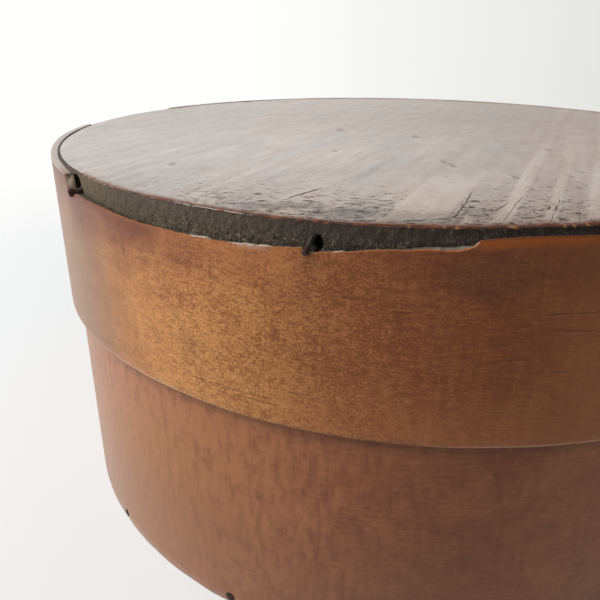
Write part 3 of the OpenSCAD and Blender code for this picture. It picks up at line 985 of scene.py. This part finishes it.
def make_hoop(name, size, lap, spans, edges_of, finishes):
    """Builds a lapped hoop; edges_of gives the heights of its edges and the broken share of its rim."""
    outer_r, rows, wear, seed = size
    lap_at, lap_len = lap
    set_off, tip = lap_angles(outer_r, lap_len)
    turn = stations(lap_at - tip, lap_at + 360 + tip, HOOP_STEP, BREAK_STEP, spans)
    mid_r = outer_r - HOOP_T / 2
    parting = mid_r - set_off * np.sin(np.radians(turn - lap_at))
    starts = turn < lap_at + 90
    ends = turn > lap_at + 270
    sway = OUT_OF_ROUND * uneven(turn / 24, 0.5, seed)
    inner = np.where(starts, np.maximum(outer_r - HOOP_T, parting + LAP_GAP / 2), outer_r - HOOP_T)
    outer = np.where(ends, np.minimum(outer_r, parting - LAP_GAP / 2), outer_r)
    low, rim, rim_inside, broken = edges_of(turn)
    low = low + LOW_NICKS * np.maximum(uneven(turn / 3.1, 3.5, seed + 1), 0)
    worn = wear * (1 + 0.5 * uneven(turn / 2.3, 7.5, seed + 2))
    radius, height, finish = strip_section(outer, inner, low, rim, rim_inside, worn, rows)
    arc = (turn[:, None] - FRONT) * math.pi / 180 * outer_r * np.ones_like(radius)
    marks = {"strip_mm": np.stack([arc, height, radius], axis=-1),
             "edge_mm": np.stack([height - low[:, None], rim[:, None] - height,
                                  broken[:, None] * np.ones_like(radius)], axis=-1)}
    points = polar(turn[:, None], radius + sway[:, None], height).reshape(-1, 3)
    faces = strip_faces(len(turn), radius.shape[1])
    rim_finish = np.where(broken[:-1, None] > 0.5, RIM, OUTSIDE)
    face_finish = np.tile(np.array(finish), (len(turn) - 1, 1))
    face_finish = np.where(face_finish == RIM, rim_finish, face_finish)
    return new_piece(name, points, faces, finishes, [*face_finish.ravel(), OUTSIDE, INSIDE], marks)


print("hoop maker ready")

# %% Lid hoop
SPLINTER, SLIVER, INNER_SPLINTER = 0.16, 0.10, 0.22
CALM_AT = [(-150, 1), (-92, 1), (-90, 0.25), (-64, 0.2), (140, 1)]
ROUGH_AT = [(-150, 1), (-102, 1), (-99, 0.15), (-64, 0.15), (140, 1)]


def lid_edges(turn):
    """Heights of the lower edge, of the rim outside and inside, and where the rim is broken."""
    low = lid_low - round_the_hoop(turn, LOW_SAG)
    drop = round_the_hoop(turn, RIM_DROP)
    broken = np.zeros_like(turn)
    for start, end in BREAKS:
        inside = (turn - start) % 360 < (end - start) % 360
        broken = np.maximum(broken, inside)
    splinters = SPLINTER * uneven(turn * 1.3, 1.5, 31) + SLIVER * uneven(turn * 4.1, 2.5, 32)
    rim = top_face - drop + splinters * round_the_hoop(turn, CALM_AT) * broken
    rough = INNER_SPLINTER * round_the_hoop(turn, ROUGH_AT)
    inside = round_the_hoop(turn, RIM_INSIDE) + rough * uneven(turn * 2.1, 5.5, 33) * broken
    return low, rim, rim + inside, broken


lid_hoop = make_hoop("lid_hoop_worn", (lid_r, LID_ROWS, LID_WEAR, LID_SEED), (LID_LAP_AT, LID_LAP_LEN),
                     [BREAK_SPAN], lid_edges,
                     [lid_varnish_finish, raw_break_finish, bare_strip_finish])
hand_over(lid_hoop, "lid", "lid_hoop")

# %% [markdown]
# ## The body hoop
# The same maker bends the body's strip, so both hoops have the same kind of lap. Its upper edge, hidden in
# the lid, is whole, and its lower edge is rounded by years of sliding on shelves.

# %% Body hoop
BODY_LAP_AT = 50.5
BODY_LAP_LEN = 56.0
BODY_ROWS = 30
BODY_WEAR = 0.6
BODY_SEED = 60


def body_edges(turn):
    rim = body_rim - 0.05 * (1 + uneven(turn / 2.0, 4.5, 52))
    return np.full_like(turn, body_low), rim, rim, np.zeros_like(turn)


body_hoop = make_hoop("body_hoop_worn", (body_r, BODY_ROWS, BODY_WEAR, BODY_SEED),
                      (BODY_LAP_AT, BODY_LAP_LEN), [], body_edges,
                      [body_varnish_finish, body_varnish_finish, bare_strip_finish])
hand_over(body_hoop, "box", "body_hoop")

# %% [markdown]
# ## Round boards
# A board is a set of rings: out along the underside, up the edge, over the arris and in along the face.
# Rings and stations are close together where the wear shows, at the front edge. The face keeps a low
# relief from the raised bands, the dents and a rounded front.

# %% The board maker
def board_faces(rows, count):
    """Quads between the rings of a board, and fans to its two middle points, which come last."""
    ring, spoke = np.meshgrid(np.arange(rows - 1), np.arange(count), indexing="ij")
    after = (spoke + 1) % count
    quads = np.stack([ring * count + spoke, ring * count + after,
                      (ring + 1) * count + after, (ring + 1) * count + spoke], axis=-1)
    under, over = rows * count, rows * count + 1
    fans = [[under, (spoke + 1) % count, spoke] for spoke in range(count)]
    start = (rows - 1) * count
    fans += [[over, start + spoke, start + (spoke + 1) % count] for spoke in range(count)]
    return quads.reshape(-1, 4).tolist() + fans


def make_board(name, turn, rings, middle, finishes, ring_finish, marks_of):
    """Builds a board from rings, each a radius and a height for every station."""
    radius = np.stack([np.broadcast_to(r, turn.shape) for r, _ in rings])
    height = np.stack([np.broadcast_to(z, turn.shape) for _, z in rings])
    points = polar(turn[None, :], radius, height).reshape(-1, 3)
    points = np.vstack([points, [[0, 0, middle[0]], [0, 0, middle[1]]]])
    faces = board_faces(len(rings), len(turn))
    face_finish = np.repeat(ring_finish, len(turn)).tolist()
    face_finish += [ring_finish[0]] * len(turn) + [ring_finish[-1]] * len(turn)
    return new_piece(name, points, faces, finishes, face_finish, marks_of(points))


print("board maker ready")

# %% [markdown]
# ## The lid board
# At the left the board keeps its sharp arris. Towards the right the arris is rubbed away ever more, the
# edge leans in under it, and the face stands a little proud, because the dry board has cupped. Two short
# outlines say how far. A knocked nail has torn a hole into the edge, and a splinter is missing at the left.

# %% Outline of the lid board
ARRIS = 0.7
ARRIS_STEEP = 0.45
BOARD_STEP = 0.6    # degrees between the stations of the board
WORN_STEP = 0.22    # and along its worn front
WORN_SPAN = (205.0, 320.0)
SEAM = 60.0         # azimuth where the stations start, out of sight
FACE_RISE = [(-150, 0.0), (-130, 0.0), (-122, 0.3), (-108, 0.3), (-100, 0.3), (-94, 0.5), (-84, 0.85),
             (-60, 0.9), (-40, 0.4), (-10, 0.0)]
FACE_INSET = [(-150, 0.3), (-130, 0.35), (-122, 0.6), (-108, 0.9), (-104, 1.5), (-100, 2.0), (-90, 2.7),
              (-84, 3.0), (-60, 3.0), (-40, 1.0), (-10, 0.3)]
EDGE_HOLES = [((-105.85, 98.4), 0.85, 1.4), ((-143.5, 99.4), 2.1, 1.6)]
HOLE_DEPTH = 2.4
DENT_DEPTH = 0.16
BAND_HEIGHT = 0.10
EXPOSED_AT = [(-147, 0), (-144, 1), (-60, 1), (-40, 0)]
print("the face stands", max(rise for _, rise in FACE_RISE), "mm proud at most")

# %% Relief of the lid board
def top_relief(x, y):
    """Height of the worn face over its flat level."""
    along, across = grain_axes(x, y)
    relief = 0.05 * uneven(across / 2.2, along / 26, 71) + 0.04 * uneven(x / 9, y / 9, 72)
    for low, high, end in SMOOTH_BANDS:
        inside = smooth_step(across, low - 0.8, low + 0.8) * smooth_step(across, high + 0.8, high - 0.8)
        relief = relief + BAND_HEIGHT * inside * smooth_step(along, end + 12, end - 6)
    for dent_x, dent_y, size in TOP_DENTS:
        away = np.hypot(x - dent_x, (y - dent_y) / DENT_STRETCH) / size
        relief = relief - DENT_DEPTH * np.exp(-away * away)
    return relief


def edge_hole(turn, height):
    """1 at the middle of a hole in the edge, falling to 0 just past its half sizes."""
    deepest = 0.0
    for (azimuth, level), half_width, half_height in EDGE_HOLES:
        sideways = ((turn + 180) % 360 - 180 - azimuth) * math.pi / 180 * top_r
        narrow = half_width * (1 - 0.4 * smooth_step(height, level, level + half_height))
        away = np.hypot(sideways / narrow, (height - level) / half_height)
        deepest = np.maximum(deepest, smooth_step(away, 1.25, 0.7))
    return deepest


def lid_board_edge(turn, crest, inset):
    """Rings out along the underside, up the leaning edge and over the arris."""
    exposed = round_the_hoop(turn, EXPOSED_AT)
    nicks = np.maximum(uneven(turn * 0.9, 2.5, 81), 0) + 0.6 * np.maximum(uneven(turn * 2.9, 4.5, 82), 0)
    arris = np.minimum(inset, ARRIS)
    lean = inset - arris
    rings = [(top_r * share, top_low) for share in (0.25, 0.5, 0.75, 0.96)]
    rings.append((top_r - 0.25, top_low))
    foot, brow = top_low + 0.25, crest - ARRIS_STEEP * arris
    for share in np.linspace(0, 1, 15):
        height = foot + share * (brow - foot)
        fur = 0.14 * (1 + uneven(turn * 3.1, height * 1.2, 83))
        fur = fur + 0.08 * (1 + uneven(turn * 7, height * 3, 84))
        gone = exposed * fur + HOLE_DEPTH * edge_hole(turn, height)
        rings.append((top_r - lean * smooth_step(share, 0.5, 1.05) - gone, height))
    for share in (0.3, 0.65, 0.9):
        radius = top_r - lean - arris * share - 0.14 * nicks * exposed
        rings.append((radius, crest - ARRIS_STEEP * arris * (1 - share) ** 1.3 - 0.08 * nicks * exposed))
    return rings


print("relief at the middle of the face:", round(float(top_relief(np.array(0.0), np.array(0.0))), 3), "mm")

# %% Lid board
FACE, EDGE, UNDERSIDE, ROUNDED = range(4)   # the finishes of the lid board
FACE_DEPTHS = [0.15, 0.5, 0.9, 1.4, 2.0, 2.7, 3.5, 4.4, 5.4, 6.6, 8.0, 9.5]
face_radii = [top_r - 0.3 - depth for depth in FACE_DEPTHS]
face_radii += list(np.linspace(face_radii[-1] - 1.6, 24, 42)) + [18, 12, 6]


def make_lid_board():
    turn = stations(SEAM, SEAM + 360.0, BOARD_STEP, WORN_STEP, [WORN_SPAN])[:-1]
    rise = round_the_hoop(turn, FACE_RISE)
    inset = round_the_hoop(turn, FACE_INSET)
    rubbed = 0.10 * (1 + uneven(turn / 5, 3.5, 86))
    rings = lid_board_edge(turn, top_face + rise - rubbed, inset)
    for radius in face_radii:
        fitted = radius - (inset - 0.3) * smooth_step(radius, top_r - 16, top_r - 0.3)
        ring = polar(turn, fitted, 0.0)
        height = top_face + rise * smooth_step(fitted, 55, 103) + top_relief(ring[:, 0], ring[:, 1])
        rings.append((fitted, height - rubbed * smooth_step(top_r - 0.3 - radius, 2.5, 0.0)))
    middle = (top_low, top_face + float(top_relief(np.array(0.0), np.array(0.0))))
    finish = np.array([UNDERSIDE] * 5 + [EDGE] * 14 + [ROUNDED] * 4 + [FACE] * (len(rings) - 24))

    def marks_of(points):
        radius = np.hypot(points[:, 0], points[:, 1])
        azimuth = np.degrees(np.arctan2(points[:, 1], points[:, 0]))
        arc = ((azimuth + 90 + 180) % 360 - 180) * math.pi / 180 * top_r
        from_edge = top_r - round_the_hoop(azimuth, FACE_INSET) - radius
        hole = edge_hole(azimuth, points[:, 2])
        return {"strip_mm": np.stack([arc, points[:, 2], radius], axis=-1),
                "wear": np.stack([from_edge, hole, np.zeros_like(hole)], axis=-1)}   # a mark has three values

    finishes = [top_varnish_finish, edge_grain_finish, bare_board_finish, arris_wear_and_light_finish]
    return make_board("lid_board_worn", turn, rings, middle, finishes, finish, marks_of)


lid_board = make_lid_board()
hand_over(lid_board, "lid", "lid_board")

# %% [markdown]
# ## The base board
# The base is a plain bare board, let into the body hoop and nailed through it. Its lower arris is worn. A
# cylinder would do, but the board maker also gives it the worn arris and a face that isn't quite flat.

# %% Base board
BASE_STEP = 1.2
BASE_LIFT = 0.1       # the hoop's edge stands on the floor, and the board a little above it
BASE_WORN = 0.4       # height of the worn lower arris
BASE_ROUNDED = 0.3    # rounding of the upper one


def make_base_board():
    turn = stations(SEAM, SEAM + 360.0, BASE_STEP, BASE_STEP, [])[:-1]
    under, worn = base_low + BASE_LIFT, base_low + BASE_WORN
    rings = [(base_r * share, under) for share in (0.2, 0.4, 0.6, 0.8, 0.95)]
    rings += [(base_r - 0.5, under), (base_r - 0.1, worn)]
    upright = base_face - BASE_WORN - BASE_ROUNDED
    rings += [(base_r, worn + upright * share) for share in (0.25, 0.5, 0.75, 1.0)]
    rings += [(base_r - BASE_ROUNDED, base_face)]
    for share in (0.96, 0.9, 0.8, 0.7, 0.6, 0.5, 0.4, 0.3, 0.2, 0.1):
        ring = polar(turn, base_r * share, 0.0)
        along, across = grain_axes(ring[:, 0], ring[:, 1])
        rings.append((base_r * share, base_face - 0.08 * (1 + uneven(across / 9, along / 60, 91))))
    finish = np.zeros(len(rings) - 1, dtype=int)
    return make_board("base_board_bare", turn, rings, (under, base_face - 0.1),
                      [bare_board_finish], finish, lambda points: {})


base_board = make_base_board()
hand_over(base_board, "box", "base_board")

# %% [markdown]
# ## Nails by Geometry Nodes
# Brads and tacks repeat round the hoops, so one node tree drives them all: points on a ring or up a lap,
# a nail turned from a stack of rings, and a little unevenness that makes every head its own. Its sizes
# are named inputs. A tack's tail is bent over and lies up the inner face, so it has a switch.

# %% One turned nail
HEAD_RADII = [0.45, 0.80, 1.00, 1.00, 0.90, 0.00, 0.00, 0.00, 0.00]
SHANK_RADII = [0.00, 0.00, 0.00, 0.00, 0.00, 1.00, 1.00, 0.40, 0.10]
HEAD_RISES = [1.00, 0.85, 0.35, 0.00, 0.00, 0.00, 0.00, 0.00, 0.00]
HEAD_DEPTHS = [0.00, 0.00, 0.00, 0.30, 1.00, 1.00, 0.00, 0.00, 0.00]
SHANK_DEPTHS = [0.00, 0.00, 0.00, 0.00, 0.00, 0.00, 0.80, 0.98, 1.00]


def turned_nail(graph, given):
    """A nail along Z with its head's underside level with the hoop, as rings of a cylinder moved."""
    sockets = {"Vertices": 14, "Side Segments": 8, "Fill Segments": 1, "Radius": 1.0, "Depth": 1.0}
    blank = graph.node("GeometryNodeMeshCylinder", {"fill_type": "TRIANGLE_FAN"}, sockets)
    x, y, z = graph.split(graph.node("GeometryNodeInputPosition"))
    share = 0.5 - z

    def along(values):
        return graph.node("ShaderNodeFloatCurve", {"points": values}, {"Value": share})

    radius = given["Head Radius"] * along(HEAD_RADII) + given["Shank Radius"] * along(SHANK_RADII)
    height = given["Head Rise"] * along(HEAD_RISES) - given["Head Depth"] * along(HEAD_DEPTHS)
    height = height - given["Shank Length"] * along(SHANK_DEPTHS)
    moved = {"Geometry": blank, "Position": graph.join(x * radius, y * radius, height)}
    nail = graph.node("GeometryNodeSetPosition", {}, moved)

    ball = graph.node("GeometryNodeMeshUVSphere", {}, {"Segments": 12, "Rings": 8, "Radius": 1.0})
    half = given["Tail Length"] * 0.5
    lies = {"Geometry": ball, "Translation": graph.join(half * 0.8, 0.0, given["Shank Length"] * -1.0),
            "Scale": graph.join(half, given["Shank Radius"], given["Shank Radius"] * 0.35)}
    tail = graph.node("GeometryNodeTransform", {}, lies)
    both = graph.node("GeometryNodeJoinGeometry", {}, {"Geometry": nail})
    graph.tree.links.new(tail.socket, both.socket.node.inputs["Geometry"])
    choice = {"Switch": given["Clinched"], "False": nail, "True": both}
    return graph.node("GeometryNodeSwitch", {"input_type": "GEOMETRY"}, choice)


print("a nail is turned from", len(HEAD_RADII), "rings")

# %% The nail tree
NAIL_INPUTS = [("Count", "Int"), ("First Azimuth", "Float"), ("Azimuth Step", "Float"),
               ("Radius", "Float"), ("First Height", "Float"), ("Height Step", "Float"),
               ("Head Radius", "Float"), ("Head Rise", "Float"), ("Head Depth", "Float"),
               ("Shank Radius", "Float"), ("Shank Length", "Float"), ("Tail Length", "Float"),
               ("Clinched", "Bool"), ("Seed", "Int"), ("Metal", "Material")]
NAIL_SIZES = {"Min": 0.92, "Max": 1.06}
KNOCK = 0.25             # how far a hammer's knocks move the metal, in millimetres
KNOCKS_PER_METRE = 900.0


def nail_tree():
    tree = bpy.data.node_groups.new("driven_nails", "GeometryNodeTree")
    tree.interface.new_socket("Geometry", in_out="OUTPUT", socket_type="NodeSocketGeometry")
    names = {}
    for name, kind in NAIL_INPUTS:
        socket = tree.interface.new_socket(name, in_out="INPUT", socket_type="NodeSocket" + kind)
        names[name] = socket.identifier
    graph = Graph(tree)
    wires = graph.outputs(graph.node("NodeGroupInput"))
    given = {name: wires[index] for index, (name, _) in enumerate(NAIL_INPUTS)}

    index = graph.node("GeometryNodeInputIndex")
    azimuth = (given["First Azimuth"] + given["Azimuth Step"] * index) * (math.pi / 180)
    east, north = azimuth.cosine(), azimuth.sine()
    height = given["First Height"] + given["Height Step"] * index
    place = graph.join(given["Radius"] * east, given["Radius"] * north, height)
    points = graph.node("GeometryNodePoints", {}, {"Count": given["Count"], "Position": place})

    nail = turned_nail(graph, given)
    axes = {"Primary Axis": graph.join(east, north, 0.0), "Secondary Axis": (0.0, 0.0, 1.0)}
    settings = {"primary_axis": "Z", "secondary_axis": "X"}
    turn = graph.node("FunctionNodeAxesToRotation", settings, axes)
    size = graph.node("FunctionNodeRandomValue", {"data_type": "FLOAT"},
                      {**NAIL_SIZES, "Seed": given["Seed"]}, 1)
    driven = graph.node("GeometryNodeInstanceOnPoints", {},
                        {"Points": points, "Instance": nail, "Rotation": turn, "Scale": size})
    solid = graph.node("GeometryNodeRealizeInstances", {}, {"Geometry": driven})
    dents = graph.node("ShaderNodeTexNoise", {}, {"Scale": KNOCKS_PER_METRE, "Detail": 1.0}, "Color")
    knock = graph.node("ShaderNodeVectorMath", {"operation": "SUBTRACT"}, {0: dents, 1: (0.5, 0.5, 0.5)})
    knock = graph.node("ShaderNodeVectorMath", {"operation": "SCALE"}, {0: knock, "Scale": KNOCK * MM})
    uneven_nails = graph.node("GeometryNodeSetPosition", {}, {"Geometry": solid, "Offset": knock})
    painted = graph.node("GeometryNodeSetMaterial", {},
                         {"Geometry": uneven_nails, "Material": given["Metal"]})
    tree.links.new(painted.socket, tree.nodes.new("NodeGroupOutput").inputs[0])
    return tree, names


nails, nail_names = nail_tree()
print("nail tree has", len(nails.nodes), "nodes")

# %% [markdown]
# ## Driving the nails
# Fifteen brads hold the base and eight the lid, where its rim is whole. Each lap is closed by a row of
# tacks. The sizes are set before the tree first runs, and the result is kept as a plain mesh.

# %% Brads and tacks
BRAD = {"Head Radius": 1.2, "Head Rise": 0.18, "Head Depth": 0.5, "Shank Radius": 0.7,
        "Shank Length": 15.5, "Tail Length": 0.0}
TACK = {"Head Radius": 2.5, "Head Rise": 0.28, "Head Depth": 0.3, "Shank Radius": 0.8,
        "Shank Length": 1.75, "Tail Length": 4.4}
TACK_MARGIN = 10.0


def drive(name, body, node, count, sizes, clinched, seed):
    piece = bpy.data.objects.new(name, bpy.data.meshes.new(name + "_start"))
    bpy.context.scene.collection.objects.link(piece)
    modifier = piece.modifiers.new("driven_nails", "NODES")
    modifier.node_group = nails
    for label, value in sizes.items():
        turned = label.endswith(("Azimuth", "Azimuth Step"))
        modifier[nail_names[label]] = float(value) if turned else float(value * MM)
    modifier[nail_names["Count"]] = count
    modifier[nail_names["Clinched"]] = clinched
    modifier[nail_names["Seed"]] = seed
    modifier[nail_names["Metal"]] = rusted_iron_finish
    made = piece.evaluated_get(bpy.context.evaluated_depsgraph_get())
    mesh = bpy.data.meshes.new_from_object(made)
    piece.modifiers.clear()
    mesh.name = name
    mesh.shade_smooth()
    mesh.set_sharp_from_angle(angle=SHARP_AT)
    piece.data = mesh
    hand_over(piece, body, node)


def ring_of(first, step, radius, height):
    return {"First Azimuth": first, "Azimuth Step": step, "Radius": radius,
            "First Height": height, "Height Step": 0.0}


def row_up(azimuth, radius, low, high, count):
    step = (high - low - 2 * TACK_MARGIN) / (count - 1)
    return {"First Azimuth": azimuth, "Azimuth Step": 0.0, "Radius": radius,
            "First Height": low + TACK_MARGIN, "Height Step": step}


BASE_BRADS, BASE_BRAD_AT, BASE_BRAD_Z = 15, -117.5, 2.4
LID_BRADS, LID_BRAD_AT, LID_BRAD_Z = 8, -178.5, 97.3
LID_BRAD_STEP = -36.0
BODY_TACKS, LID_TACKS = 4, 3
base_ring = ring_of(BASE_BRAD_AT, 360.0 / BASE_BRADS, body_r, BASE_BRAD_Z)
lid_ring = ring_of(LID_BRAD_AT, LID_BRAD_STEP, lid_r, LID_BRAD_Z)
body_row = row_up(BODY_LAP_AT, body_r, body_low, body_rim, BODY_TACKS)
lid_row = row_up(LID_LAP_AT, lid_r, lid_low, lid_rim, LID_TACKS)
drive("base_brads_rusty", "box", "base_brads", BASE_BRADS, {**BRAD, **base_ring}, False, 3)
drive("lid_brads_rusty", "lid", "lid_brads", LID_BRADS, {**BRAD, **lid_ring}, False, 5)
drive("body_lap_tacks_rusty", "box", "body_lap_tacks", BODY_TACKS, {**TACK, **body_row}, True, 7)
drive("lid_lap_tacks_rusty", "lid", "lid_lap_tacks", LID_TACKS, {**TACK, **lid_row}, True, 9)

# %% [markdown]
# ## Two bare nails
# Where the rim broke off, two brads were left standing in the board's edge. The left one is straight,
# with a rusted head. The front one was knocked down and to the left. A ring of points swept along a
# short path makes each, wider at the head.

# %% Bare brads
BAR_SIDES = 12


def swept_nail(path, radii):
    """Points of a round bar along a path, ring after ring."""
    path = np.asarray(path)
    ahead = np.gradient(path, axis=0)
    ahead /= np.linalg.norm(ahead, axis=1)[:, None]
    side = np.cross(ahead, [0.0, 0.0, 1.0])
    side /= np.linalg.norm(side, axis=1)[:, None]
    up = np.cross(side, ahead)
    turn = np.linspace(0, 2 * math.pi, BAR_SIDES, endpoint=False)
    rough = 1 + 0.10 * uneven(np.arange(len(path))[:, None] * 1.7, turn[None, :] * 1.5, 95)
    reach = np.asarray(radii)[:, None] * rough
    ring = side[:, None] * (reach * np.cos(turn))[..., None]
    ring = ring + up[:, None] * (reach * np.sin(turn))[..., None]
    return (path[:, None] + ring).reshape(-1, 3)


LEFT_NAIL = [(-141.2, 96.0, 98.9), (-141.6, 104.0, 98.3), (-142.0, 107.3, 97.75), (-142.05, 107.7, 97.7),
             (-142.1, 107.95, 97.65), (-142.3, 108.5, 97.55), (-142.35, 108.7, 97.5)]
LEFT_RADII = [0.6, 0.75, 0.7, 0.75, 0.95, 0.95, 0.6]
FRONT_NAIL = [(-106.3, 98.0, 99.6), (-106.4, 103.0, 99.4), (-106.5, 105.4, 99.1), (-106.55, 106.6, 98.5),
              (-106.6, 107.5, 97.9), (-106.63, 108.0, 97.55), (-106.66, 108.4, 97.3), (-106.68, 108.6, 97.2)]
FRONT_RADII = [0.35, 0.35, 0.36, 0.38, 0.46, 0.64, 0.62, 0.48]


def make_bare_brads():
    points, faces = [], []
    for route, radii in ((LEFT_NAIL, LEFT_RADII), (FRONT_NAIL, FRONT_RADII)):
        bar = swept_nail([polar(*place) for place in route], radii)
        first = len(points)
        faces += [[first + point for point in face] for face in strip_faces(len(route), BAR_SIDES)]
        points += bar.tolist()
    return new_piece("bare_brads_rusty", points, faces, [rusted_iron_finish], [0] * len(faces), {})


bare_brads = make_bare_brads()
hand_over(bare_brads, "lid", "bare_brads")

# %% [markdown]
# ## Floor and room
# The box stands on a pale sheet that runs up into a white background, and the white room fills the
# shadows a little. More light could make the background white, but would bleach the box. Here the world
# and the far floor are white only to rays from the camera and to reflections.

# %% Floor
FLOOR_R = 3.0
FLOOR_SIDES = 96
PAPER_GREY = (0.842, 0.876, 0.902)
PAPER_WHITE = (0.858, 0.890, 0.914)


def white_for_eyes(graph):
    """1 for rays that show the background: from the camera, in gloss and through glass."""
    path = graph.node("ShaderNodeLightPath")
    wires = {wire.socket.name: wire for wire in graph.outputs(path)}
    return wires["Is Camera Ray"] | wires["Is Glossy Ray"] | wires["Is Transmission Ray"]


def floor_paper():
    paint = Paint("floor_paper")
    x, y, _ = paint.place()
    seen = white_for_eyes(paint)
    away = paint.from_axis(x, y)
    tone = paint.mix(paint.noise(x * 0.08, y * 0.08, 0.0, 3.0), PAPER_GREY, PAPER_WHITE)
    matt = paint.node("ShaderNodeBsdfDiffuse", {}, {"Color": tone})
    clear = paint.node("ShaderNodeBsdfTransparent", {}, {})
    far = (0.42 + paint.step(away, 150.0, 480.0) * 0.58) * seen
    both = paint.node("ShaderNodeMixShader", {}, {0: far, 1: matt, 2: clear})
    paint.close("ShaderNodeOutputMaterial", both)
    return paint.material


def make_floor():
    turn = np.linspace(0, 360, FLOOR_SIDES, endpoint=False)
    points = polar(turn, FLOOR_R / MM, 0.0)
    faces = [list(range(FLOOR_SIDES))]
    return new_piece("floor", points, faces, [floor_paper()], [0], {})


floor = make_floor()
print("floor is", 2 * FLOOR_R, "m across")

# %% The white room
WALL_LIT = (1.0, 1.0, 0.985)
WALL_SHADED = (0.64, 0.635, 0.595)
FILL_COLOUR = (1.0, 0.99, 0.97, 1.0)
WORLD_FILL = 0.24
world = bpy.data.worlds.new("white_room")
bpy.context.scene.world = world
world.use_nodes = True
room = Graph(world.node_tree)
east = room.split(room.node("ShaderNodeTexCoord", {}, {}, "Generated"))[0]
shade = room.node("ShaderNodeMapRange", {}, {"Value": east, "From Min": -0.1, "From Max": 0.75})
wall = room.mix(shade, WALL_LIT, WALL_SHADED)
fill = room.node("ShaderNodeBackground", {}, {"Color": FILL_COLOUR, "Strength": WORLD_FILL})
seen_wall = room.node("ShaderNodeBackground", {}, {"Color": wall, "Strength": 1.0})
room_light = room.node("ShaderNodeMixShader", {}, {0: white_for_eyes(room), 1: fill, 2: seen_wall})
room.close("ShaderNodeOutputWorld", room_light)
print("the room fills shadows with", WORLD_FILL, "of white")

# %% [markdown]
# ## Lamp
# The light comes from a window low at the left. A large round area lamp gives the same soft edge to the
# shadows; a small one would cut them hard.

# %% Lamp
LAMP_AT = Vector((-0.62, -0.10, 0.42))
LAMP_AIM = Vector((0.0, 0.0, 0.06))
LAMP_SIZE = 0.55
LAMP_POWER = 5.3
lamp_data = bpy.data.lights.new("window_lamp", "AREA")
lamp_data.shape = "DISK"
lamp_data.size = LAMP_SIZE
lamp_data.energy = LAMP_POWER
lamp = bpy.data.objects.new("window_lamp", lamp_data)
lamp.location = LAMP_AT
lamp.rotation_euler = (LAMP_AIM - LAMP_AT).to_track_quat("-Z", "Y").to_euler()
bpy.context.scene.collection.objects.link(lamp)
print("lamp at", tuple(round(v, 2) for v in LAMP_AT))

# %% [markdown]
# ## Camera
# The eye is close to the box and looks down on it, so the near rim bulges. The place, the turn and the
# lens were fitted together to the outlines of the lid and the body.

# %% Camera
EYE = Vector((-0.0293, -0.2037, 0.1328))
YAW, PITCH, ROLL = math.radians(-1.44), math.radians(23.92), math.radians(0.6)
LENS = 36.9
SENSOR = 36.0
NEAREST = 0.005
look = Vector((math.sin(YAW) * math.cos(PITCH), math.cos(YAW) * math.cos(PITCH), -math.sin(PITCH)))
camera_data = bpy.data.cameras.new("camera")
camera_data.lens = LENS
camera_data.sensor_width = SENSOR
camera_data.clip_start = NEAREST
camera = bpy.data.objects.new("camera", camera_data)
facing = look.to_track_quat("-Z", "Y").to_matrix() @ Matrix.Rotation(ROLL, 3, "Z")
camera.matrix_world = Matrix.Translation(EYE) @ facing.to_4x4()
bpy.context.scene.collection.objects.link(camera)
bpy.context.scene.camera = camera
bpy.context.scene.view_settings.view_transform = "Standard"
print("camera looks along", tuple(round(v, 3) for v in look))
